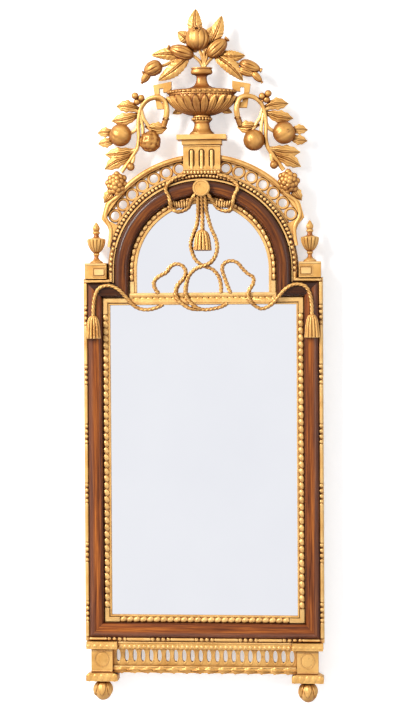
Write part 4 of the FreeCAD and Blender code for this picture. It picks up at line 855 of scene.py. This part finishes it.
# rope: three twisted strands, with fringed tassels; z is from the arch's centre
rope = {"radius": 4.4, "sides": 18, "lobes": 3, "pitch": 9.5, "lobeDepth": 0.42, "step": 1.5}
onWood, onEdge, onBar, onGlass, barRest = 49.7, 41.7, 39.7, 34.4, 40.1  # depth of the rope's middle
tasselShape = [(3, 0.5), (6, -0.5), (8.8, -2.8), (11, -6.4), (13, -11), (14.4, -17), (15.5, -24), (16.4, -32),
               (17.1, -41), (17.9, -49), (17.8, -52), (15.5, -52.8), (8, -51), (1, -51)]
centreTassel = {"x": 0, "depth": 40.6, "top": 91, "spread": 1.13, "tall": 0.88}
sideTassel = {"x": 251, "depth": onWood + 1, "top": -104}
fold = {"count": 8, "x": 28, "spread": 42, "z": 155, "sag": 6, "depth": 37.5, "size": (3.3, 4.6, 8.5),
        "turn": 8, "fan": 30}
bossRing = {"z": 252.25, "inner": 14.6, "outer": 18.6, "back": 54, "front": 57.4, "ease": 1.2}


def route(*runs):
    # each run is a depth and the points (x, z) there
    return [(x, depth, z) for depth, *points in runs for x, z in points]


def twisted(points, sign=1):
    return roundSweep([(sign * x, d, springZ + z) for x, d, z in points], **rope)


def strands(angle, row):
    return grooves(angle, 12, 0.27 * min(1, max(0, row - 1) / 3), 1.7)


def tassel(x, depth, top, spread=1.0, tall=1.0):
    shape = [(spread * r, tall * z) for r, z in tasselShape]
    return lathe(shape, (x, depth, springZ + top), 0.72, 120, strands)


swag = route((onEdge, (36, 216), (55, 213), (69, 204.5), (80, 194)),
             (onWood, (82, 182), (75, 168), (72, 153)), (onBar, (69, 141), (60, 134.5)),
             (onGlass, (47, 135.5), (34, 142)), (onBar, (27, 153)), (onWood, (19, 166), (11, 176)))
cord = route((onWood, (0, 168)), (onBar, (0, 145)), (35.5, (0, 125)), (40.6, (0, 88)))
leftStrand = route((onWood, (-8, 168)), (onBar, (-9, 140)),
                   (onGlass, (-10, 124), (-13, 103), (-21, 82), (-27, 61), (-24, 41), (-15, 22), (2, 9),
                    (23, 1), (37, -16), (42, -36), (42, -53)))
rightStrand = route((onWood, (8, 168)), (onBar, (9, 140)),
                    (onGlass, (12, 124), (20, 96), (30, 73), (34, 52), (29, 31)),
                    (onBar, (16, 15), (-2, 8)), (onGlass, (-18, 1), (-32, -14)),
                    (barRest, (-38, -33), (-39, -53), (-31, -71), (-18, -84)),
                    (onGlass, (0, -91), (21, -90), (42, -85), (57, -77)))
leftWave = route((onGlass, (-102, -54), (-111, -40), (-112, -26), (-102, -15), (-84, -5), (-74, 8),
                  (-61, 14), (-47, 10), (-39, -3), (-43, -18)),
                 (barRest, (-57, -34), (-62, -51), (-56, -68), (-44, -80), (-27, -89)), (onGlass, (-6, -91)))
rightWave = route((onGlass, (64, -54), (53, -25), (45, 2), (52, 16), (67, 20), (81, 15), (91, 3), (103, -9),
                   (116, -18), (116, -32)),
                  (barRest, (107, -47), (105, -61), (110, -73)), (onGlass, (119, -83)))
shoulderTop = route((onWood, (190, -46), (205, -37), (221, -35), (237, -41), (246, -57), (250, -80),
                     (251, -106)))
shoulderFoot = {  # the left rope tucks in behind the bar, the right one goes on into the wave
    "left": route((31, (92, -79)), (onGlass, (104, -85), (119, -89.5), (134, -90.5), (149, -87)),
                  (37.5, (160, -80)), (41, (170, -68.5)), (46, (180, -56.5))),
    "right": route((onGlass, (119, -83), (134, -90), (149, -86)), (barRest, (163, -76)), (44, (174, -64)))}
parts = [twisted(swag), twisted(swag, -1)]
for sign in (-1, 1):
    for s in np.linspace(0, 1, fold["count"]):
        x = sign * (fold["x"] + fold["spread"] * s)
        z = springZ + fold["z"] - fold["sag"] * math.sin(math.pi * s)
        turn = sign * (fold["turn"] - fold["fan"] * s)
        parts.append(placed(sphereLow, (x, fold["depth"], z), fold["size"], turn))
addPiece("swags", parts, ("rope_swags",), "giltRope")
parts = [twisted(line) for line in (leftStrand, rightStrand, leftWave, rightWave, cord)]
addPiece("centreRope", parts + [tassel(**centreTassel)], ("centre_rope",), "giltRope")
for side, sign in bothSides:
    line = twisted(shoulderFoot[side] + shoulderTop, sign)
    fringe = tassel(sign * sideTassel["x"], sideTassel["depth"], sideTassel["top"])
    addPiece("shoulderRope_" + side, [line, fringe], ("shoulder_rope_" + side,), "giltRope")
rim = ringShape(bossRing["inner"], bossRing["outer"], bossRing["back"], bossRing["front"], bossRing["ease"])
addPiece("bossRim", [placed(rim, (0, 0, bossRing["z"]))])
print("ropes ready")

# plinth carving: raised flute rims, tongues below and beads of the arch in front; bars (z, radius)
plinth = {"flutes": (-23, 0, 23), "fluteRun": (298, 318, 337), "flute": 4.2, "fluteDepth": 36.6, "depth": 38,
          "tongues": 11, "tongueReach": 39, "tongueRow": 288.5, "tongue": (3.2, 3, 5.2),
          "barReach": 42, "bars": ((294.8, 1.7), (349, 2.0)),
          "beads": 12, "beadReach": 44, "beadDepth": 36.5, "bead": (3.7, 4.2, 3.7)}
parts = []
for x in plinth["flutes"]:
    line = [(x, plinth["fluteDepth"], z) for z in plinth["fluteRun"]]
    parts.append(roundSweep(line, plinth["flute"], 12, step=20))
    parts += [placed(sphereLow, end, (plinth["flute"],) * 3) for end in (line[0], line[-1])]
for x in evenSpots(plinth["tongueReach"], plinth["tongues"]):
    parts.append(placed(sphereLow, (x, plinth["depth"], plinth["tongueRow"]), plinth["tongue"]))
for z, radius in plinth["bars"]:
    parts.append(levelBar(-plinth["barReach"], plinth["barReach"], plinth["depth"], z, radius, 10, 40))
for x in evenSpots(plinth["beadReach"], plinth["beads"]):
    z = springZ + math.sqrt(archEdge["beadRow"] ** 2 - x * x)
    parts.append(placed(sphereLow, (x, plinth["beadDepth"], z), plinth["bead"]))
addPiece("plinthCarving", parts)

# urn: turned foot, bead collar, bowl of two rows of pointed leaves, beaded lip, neck and rim;
# collar and lip are beads, radius, z and size
urn = {"depth": 25, "footFlat": 0.715, "bowlFlat": 0.55, "back": 3.2, "leaves": 22, "bowlRows": 40,
       "collar": (18, 20.8, 411, (3.6, 3.6, 3.9)), "lip": (40, 76.5, 472.5, (4.4, 3.6, 3.6)), "clearance": 9}
sprig = {"base": (38, 438), "tip": (69, 427), "width": 17, "depth": 12, "lift": 2}
footShape = [(29, 374.4), (29, 378), (27.4, 379.2), (27.4, 380.4), (25.4, 381.6), (22, 385), (19.2, 391),
             (17.6, 398), (17.4, 402), (19, 404), (20.6, 405.4), (20.6, 407), (18.4, 408), (18.4, 414),
             (20.8, 415), (21.2, 417), (19.6, 419.4), (5, 419.8)]
bowlCurve = np.array([(25, 419.4), (31, 420.8), (40, 424.1), (49, 428), (57, 432.5), (64, 437.9), (70, 443.8),
                      (75, 449.6), (79, 455.9), (81, 461.3), (80.6, 464.9)])
neckShape = [(76, 467), (75.5, 469), (77, 470.5), (77, 474.5), (74, 477), (70, 478), (52, 479.6), (36, 481.6),
             (25, 484.4), (18, 488.4), (14, 494), (12.3, 500), (11.9, 506), (12.8, 510), (16.5, 512.2),
             (22, 513.4), (24.6, 516), (25, 519.6), (24.2, 523), (22.8, 524.8), (23, 526), (24.8, 527),
             (24.8, 528.6), (22.5, 529.4), (10, 527), (1, 526)]


def beadRing(count, radius, z, size, flat):
    # beads round the urn, left out near the wall
    parts = []
    for a in np.linspace(0, 2 * math.pi, count, endpoint=False):
        depth = urn["depth"] - flat * radius * math.sin(a)
        if depth > urn["clearance"]:
            parts.append(placed(sphereLow, (radius * math.cos(a), depth, z), size))
    return parts


def bowlLeaves(angle, row):
    # long leaves whose tips part towards the lip, with a rib each, and a second row seen between the tips
    if row > urn["bowlRows"]:
        return np.ones(len(angle))
    rise = row / urn["bowlRows"]
    away = np.abs((angle * urn["leaves"] / (2 * math.pi) + 0.5) % 1 - 0.5) * 2
    reach = 1.0 if rise < 0.55 else max(0.02, 1 - ((rise - 0.55) / 0.43) ** 1.6)
    inner = np.clip((reach - away) / 0.22, 0, 1)
    between = np.exp(-((1 - away) / 0.10) ** 2) * (rise > 0.55)
    rib = np.exp(-(away / 0.10) ** 2) * 0.028
    return 1 - 0.105 * min(1, row / 5) * (1 - inner ** 0.5) + (rib * inner + 0.03 * between) * min(1, row / 8)


centre = (0, urn["depth"], 0)
parts = [lathe(footShape, centre, urn["footFlat"], 72, None, urn["back"])]
addPiece("urnFoot", parts + beadRing(*urn["collar"], urn["footFlat"]), ("urn_foot",), "giltDark")
knots = range(len(bowlCurve))
runs = np.linspace(0, knots[-1], urn["bowlRows"] + 1)
bowlShape = [(np.interp(t, knots, bowlCurve[:, 0]), np.interp(t, knots, bowlCurve[:, 1])) for t in runs]
parts = [lathe(bowlShape + neckShape, centre, urn["bowlFlat"], 352, bowlLeaves, urn["back"])]
addPiece("urnBowl", parts + beadRing(*urn["lip"], urn["bowlFlat"]), ("urn_bowl",), "giltDark")
parts = []
for sign in (-1, 1):
    base, tip = ((sign * x, z) for x, z in (sprig["base"], sprig["tip"]))
    parts.append(leafShape(base, tip, sprig["width"], sprig["depth"], sprig["lift"], "tooth"))
addPiece("urnSprigs", parts)

# small urns at the shoulders and the panels of their blocks; a panel part is x, depth, z and its bar or edge
sideUrn = {"x": 246, "depth": 25, "flutes": 14}
smallUrn = [(15, 83), (15, 85.5), (13, 87.5), (9, 90), (5.6, 94), (4.8, 98), (5.6, 101), (7.4, 102.6),
            (7.4, 105), (6, 106.6), (9.5, 109), (13.5, 113.5), (17, 119.5), (19.6, 126), (20.8, 131.5),
            (21.2, 135), (21, 137.6), (19, 139.6), (12, 141), (7, 143.5), (5.6, 147), (6, 150), (8.2, 151.8),
            (8.2, 155), (6.4, 157), (7.6, 159.5), (8.4, 163.5), (7.6, 167), (5, 171.5), (2.6, 175.5),
            (0.4, 178)]
panel = {"rim": ((222.6, 252.6), (41.6, 43.4), (51, 73), 1.6),
         "tablet": ((226, 249.2), (41, 44.2), (54.4, 69.6), 1.2),
         "cap": ((222, 271.6), (20, 43.4), (77.5, 82.6), 1.0)}


def urnFlutes(angle, row):
    # on the bowl and on the bud
    return grooves(angle, sideUrn["flutes"], 0.15 if 9 < row < 16 else 0.12 if 25 < row < 29 else 0)


for side, sign in bothSides:
    turned = lathe(smallUrn, (sign * sideUrn["x"], sideUrn["depth"], 0), 1, 112, urnFlutes)
    addPiece("sideUrn_" + side, [turned], ("side_urn_" + side,))
    parts = []
    for key, shape in (("rim", frameShape), ("tablet", boxShape), ("cap", boxShape)):
        width, depth, height, edge = panel[key]
        parts.append(shape(*sorted(sign * x for x in width), *depth, *height, edge))
    addPiece("cornerPanel_" + side, parts)
print("urns ready")

# apron: scallops under the frame, rims of the slots and a leaf roll at the foot;
# a bar is reach, depth, z and radius
apron = {"topBar": (200, 35.4, -791.4, 2.3), "footBar": (211, 34.6, -847.2, 1.9),
         "scallops": 36, "scallopReach": 195, "scallopDepth": 33.4, "scallopRow": -801.4,
         "scallop": (5.9, 4.6, 5.6), "slots": 22, "slotReach": 200.55, "slotRow": -823, "slotTall": 2.8,
         "leaves": 7, "leafStart": 214, "leafPitch": 30.2, "leafLong": 38, "leafWide": 17, "leafDepth": 34.4,
         "leafBase": -857, "leafTip": -853.5}
slotRim = {"inner": 5.1, "outer": 7.3, "back": 18, "front": 29, "edge": 0.7, "sides": 24}


def apronBar(reach, depth, z, radius):
    return levelBar(-reach, reach, depth, z, radius, 10, 90)


parts = [apronBar(*apron["topBar"])]
for x in evenSpots(apron["scallopReach"], apron["scallops"]):
    parts.append(placed(sphereLow, (x, apron["scallopDepth"], apron["scallopRow"]), apron["scallop"]))
slotRing = ringShape(**slotRim)
for x in evenSpots(apron["slotReach"], apron["slots"]):
    parts.append(placed(slotRing, (x, 0, apron["slotRow"]), (1, 1, apron["slotTall"])))
for sign in (-1, 1):
    for k in range(apron["leaves"]):
        x = sign * (apron["leafStart"] - apron["leafPitch"] * k)
        tip = (x - sign * apron["leafLong"], apron["leafTip"])
        parts.append(leafShape((x, apron["leafBase"]), tip, apron["leafWide"], apron["leafDepth"], 2))
parts.append(apronBar(*apron["footBar"]))
addPiece("apronCarving", parts)

# foot blocks: oval medallions, leaf-carved mouldings (depth, z, leaf); ball feet under two rows of petals
foot = {"x": 237, "medallion": -829.5, "oval": 1.08, "shield": (14.2, 1.9, 15.4), "shieldDepth": 41.2,
        "leaves": 5, "leafEnds": (207.5, 266.5), "mouldings": ((45.8, -871.4, (7.3, 3.8, 9.8)),
                                                               (45.2, -799.4, (7.3, 3.4, 5.4))),
        "bars": (-810, -857), "barEnds": (213, 261), "barDepth": 42, "bar": 1.6,
        "ballDepth": 24, "ballZ": -903.7, "radius": 19.5, "tall": 23.9, "petals": 6}
medallionRim = {"inner": 15.2, "outer": 16.8, "back": 40, "front": 43.4, "edge": 0.7}
petalRows = ((0.5, 2.5, 0.04), (0.0, 2.1, 0.20))  # shift, how far down, how high
ballTurns = np.linspace(1.0, -1.55, 60)
stub = [(15, 25.4), (15, 22), (13, 20.5)]
ballShape = stub + [(foot["radius"] * math.cos(t), foot["tall"] * math.sin(t)) for t in ballTurns]


def footPetals(angle, row):
    # raised pointed petals: six broad ones over six that reach lower
    lift = np.zeros(len(angle))
    if row <= len(stub):
        return 1 + lift
    polar = math.pi / 2 - ballTurns[row - len(stub)]
    for shift, reach, height in petalRows:
        s = (polar - 0.45) / (reach - 0.45)
        if 0 <= s < 1:
            half = math.pi / foot["petals"] * 0.84 * math.sin(math.pi * (0.28 + 0.72 * s)) ** 0.75
            away = np.abs((angle * foot["petals"] / (2 * math.pi) + shift) % 1 - 0.5)
            away *= 2 * math.pi / foot["petals"]
            inside = np.clip((half - away) / 0.05, 0, 1)
            rib = 0.02 * np.exp(-(away / 0.06) ** 2) - 0.03 * np.exp(-((away - 0.16) / 0.05) ** 2)
            lift = np.where(inside > 0, np.maximum(lift, (height + rib) * inside), lift)
    return 1 + lift


medallionRing = ringShape(**medallionRim)
parts, feet = [], []
for sign in (-1, 1):
    x = sign * foot["x"]
    parts.append(placed(medallionRing, (x, 0, foot["medallion"]), (1, 1, foot["oval"])))
    parts.append(placed(sphereMid, (x, foot["shieldDepth"], foot["medallion"]), foot["shield"]))
    for spot in np.linspace(*foot["leafEnds"], foot["leaves"]):
        for depth, z, leaf in foot["mouldings"]:
            parts.append(placed(sphereMid, (sign * spot, depth, z), leaf))
    first, last = (sign * end for end in foot["barEnds"])
    parts += [levelBar(first, last, foot["barDepth"], z, foot["bar"], 8, 25) for z in foot["bars"]]
    feet.append(lathe(ballShape, (x, foot["ballDepth"], foot["ballZ"]), 1, 144, footPetals))
addPiece("footCarving", parts)
addPiece("petalFeet", feet, ("ball_feet",))
print("apron ready")

# bouquet, measured from the middle of the urn's rim: leaves (base, tip, width, depth, lift) and
# pods (base, tip, radius)
bouquet = {"z": 529.4, "sway": 0.05, "stem": 4.0, "stemDepth": 25, "podDepth": 27, "largePod": 10}
bouquetLeaves = [((-10, 64), (-12.6, 134), 36, 26, 4), ((18, 48), (47, 118), 33, 22, 6),
                 ((-22, 62), (-55, 83), 30, 22, 5), ((-38, 26), (-116, 31), 30, 22, 7),
                 ((-32, 24), (-100, -28), 34, 25, 8), ((38, 27), (100, 26), 30, 22, 7),
                 ((34, 26), (95, -31), 34, 25, 8), ((4, 58), (27, 94), 26, 26, 4),
                 ((-10, 38), (-35, 63), 22, 22, 5), ((8, 28), (21, 58), 20, 22, 5)]
bouquetPods = [((-18, 27), (-79, 47), 17), ((16, 24), (61, 66), 18), ((-92, 10), (-136, -13), 18),
               ((-120, -8), (-139, -35), 9.5), ((88, 10), (139, -10), 13.5), ((84, -4), (125, -21), 10.5),
               ((116, -12), (140, -38), 8.5)]
bouquetStems = [[(4, -3), (-4, 14), (-26, 33)], [(4, -3), (2, 20), (-6, 46)], [(4, -3), (6, 20), (5, 48)],
                [(4, -3), (10, 18), (18, 38)], [(4, -3), (14, 12), (28, 26)],
                [(-23, 25), (-46, 24), (-84, 8), (-104, 2)], [(24, 24), (48, 24), (78, 8), (100, 3)]]
pomegranate = {"place": (-9, 66), "radius": 28, "depth": 29, "lobes": 11, "cut": 0.10, "flat": 0.75,
               "crown": 7, "crownX": 6, "crownZ": 5, "crownRise": 20, "crownDepth": 44,
               "tip": (2.8, 3.4, 3.2)}


def aboveRim(point):
    return point[0], point[1] + bouquet["z"]


parts = []
for k, (base, tip, width, depth, lift) in enumerate(bouquetLeaves):
    sway = bouquet["sway"] * (-1) ** k
    parts.append(leafShape(aboveRim(base), aboveRim(tip), width, depth, lift, "tooth", sway))
for stem in bouquetStems:
    line = [(x, bouquet["stemDepth"], z + bouquet["z"]) for x, z in stem]
    parts.append(roundSweep(line, bouquet["stem"], 10, step=5, lobes=3, pitch=60, lobeDepth=0.2))
addPiece("bouquetCarved", parts, ("bouquet",))
parts = []
for base, tip, radius in bouquetPods:
    ridges = 9 if radius > bouquet["largePod"] else 6
    parts.append(podShape(aboveRim(base), aboveRim(tip), radius, bouquet["podDepth"], ridges))
x, z = aboveRim(pomegranate["place"])
parts.append(fruitShape((x, z), pomegranate["radius"], pomegranate["depth"], pomegranate["lobes"],
                        pomegranate["cut"], flat=pomegranate["flat"]))
for a in np.linspace(0, 2 * math.pi, pomegranate["crown"], endpoint=False):
    tipX = x + pomegranate["crownX"] * math.cos(a)
    tipZ = z + pomegranate["crownRise"] + pomegranate["crownZ"] * math.sin(a)
    parts.append(placed(sphereLow, (tipX, pomegranate["crownDepth"], tipZ), pomegranate["tip"]))
addPiece("bouquetFruit", parts, (), "giltDark")

# garlands from the handles to the ears, measured from the plinth's cap: leaves (base, tip, width)
garland = {"z": 374.4, "leafDepth": 21, "leafLift": 6, "sway": 0.06, "stem": 6.8, "twig": 4.2,
           "twigDepth": 25, "handle": 6.9, "collar": (82.6, 28, 38), "collarSize": (6.8, 26, 3.4),
           "fruitDepth": 27}
garlandStem = [(88, 24, 24), (83, 28, 38), (80, 32, 58), (84, 33, 77), (97, 33, 87), (116, 31, 86),
               (131, 28, 77), (141, 25, 62), (146, 25, 40), (147, 25, 16), (146, 25, -6), (150, 25, -27),
               (161, 25, -45), (174, 25, -64), (187, 25, -82)]
garlandTwigs = [[(140, 62), (134, 40), (124, 24), (116, 8)], [(146, 34), (152, 16), (170, 4)],
                [(133, 68), (141, 80), (150, 86)], [(142, 48), (137, 22), (136, -2), (141, -24)],
                [(145, 56), (156, 60), (170, 62)], [(150, -30), (166, -36), (182, -38)],
                [(158, -44), (160, -58), (165, -68)]]
garlandLeaves = [((138, 60), (199, 70), 31), ((140, 53), (210, 36), 33), ((196, 6), (243, 9), 25),
                 ((196, -4), (242, -16), 25), ((132, 23), (80, 18), 33), ((148, -30), (226, -41), 35),
                 ((158, -46), (227, -75), 33), ((204, -108), (228, -152), 27)]
handleEnd = [(88.6, 23.6, 22), (85.4, 26, 31), (83, 28, 38)]  # dark end of the stem
ridgedFruit = {"x": 188.5, "z": 3, "radius": 26, "ridges": 8, "cut": 0.045, "turn": -60}
roughFruit = {"x": 119.5, "z": -13, "radius": 24.5, "ridges": 9, "cut": 0.04, "bumps": 38, "turn": 25}
fruitCrown = {"x": 197.5, "z": 6, "ring": 3, "depth": 46.6, "tip": (1.9, 2.4, 1.9)}
bunch = {"x": 198, "z": -110, "wide": 20, "tall": 25, "grapes": 23, "grape": 7.8, "depth": 26, "bulge": 14}
goldenTurn = 2.39996  # radians between one grape and the next
berries = [((165, -70), 9.5), ((139, 87), 8), ((153, 92), 8), ((149, 79), 8)]  # place, radius


def overCap(points, sign):
    return [(sign * x, d, z + garland["z"]) for x, d, z in points]


def berry(x, depth, z, radius):
    return placed(sphereMid, (x, depth, z + garland["z"]), (radius, radius * 0.95, radius))


for side, sign in bothSides:
    parts = []
    for k, (base, tip, width) in enumerate(garlandLeaves):
        base, tip = ((sign * x, z + garland["z"]) for x, z in (base, tip))
        sway = sign * garland["sway"] * (-1) ** k
        parts.append(leafShape(base, tip, width, garland["leafDepth"], garland["leafLift"], "oak", sway))
    parts.append(roundSweep(overCap(garlandStem, sign), garland["stem"], 16, lobes=2, pitch=300,
                            lobeDepth=0.3, step=4, ends=(1.0, 0.75)))
    for twig in garlandTwigs:
        line = overCap([(x, garland["twigDepth"], z) for x, z in twig], sign)
        parts.append(roundSweep(line, garland["twig"], 8, step=5))
    addPiece("garlandCarved_" + side, parts, ("garland_" + side,))
    fruit, place = ridgedFruit, (sign * ridgedFruit["x"], ridgedFruit["z"] + garland["z"])
    parts = [fruitShape(place, fruit["radius"], garland["fruitDepth"], fruit["ridges"], fruit["cut"],
                        turn=sign * fruit["turn"])]
    if side == "right":  # a small crown on its front
        for a in np.linspace(0, 5.0, 5):
            x = fruitCrown["x"] + fruitCrown["ring"] * math.cos(a)
            z = fruitCrown["z"] + fruitCrown["ring"] * math.sin(a) + garland["z"]
            parts.append(placed(sphereLow, (x, fruitCrown["depth"], z), fruitCrown["tip"]))
    fruit, place = roughFruit, (sign * roughFruit["x"], roughFruit["z"] + garland["z"])
    parts.append(fruitShape(place, fruit["radius"], garland["fruitDepth"], fruit["ridges"], fruit["cut"],
                            bumps=fruit["bumps"] if side == "left" else 0, turn=fruit["turn"]))
    for k, ((x, z), radius) in enumerate(berries):
        parts.append(berry(sign * x, garland["fruitDepth"] + 3 * (k % 3), z, radius))
    for k in range(bunch["grapes"]):  # a spiral from the middle, where the bunch is fullest
        share = (k + 0.5) / bunch["grapes"]
        x = bunch["x"] + bunch["wide"] * math.sqrt(share) * math.cos(k * goldenTurn)
        z = bunch["z"] + bunch["tall"] * math.sqrt(share) * math.sin(k * goldenTurn)
        parts.append(berry(sign * x, bunch["depth"] + bunch["bulge"] * (1 - share), z, bunch["grape"]))
    parts.append(roundSweep(overCap(handleEnd, sign), garland["handle"], 14, step=4))
    parts.append(placed(ringFlat, overCap([garland["collar"]], sign)[0], garland["collarSize"]))
    addPiece("garlandFruit_" + side, parts, (), "giltDark")
print("garlands ready")
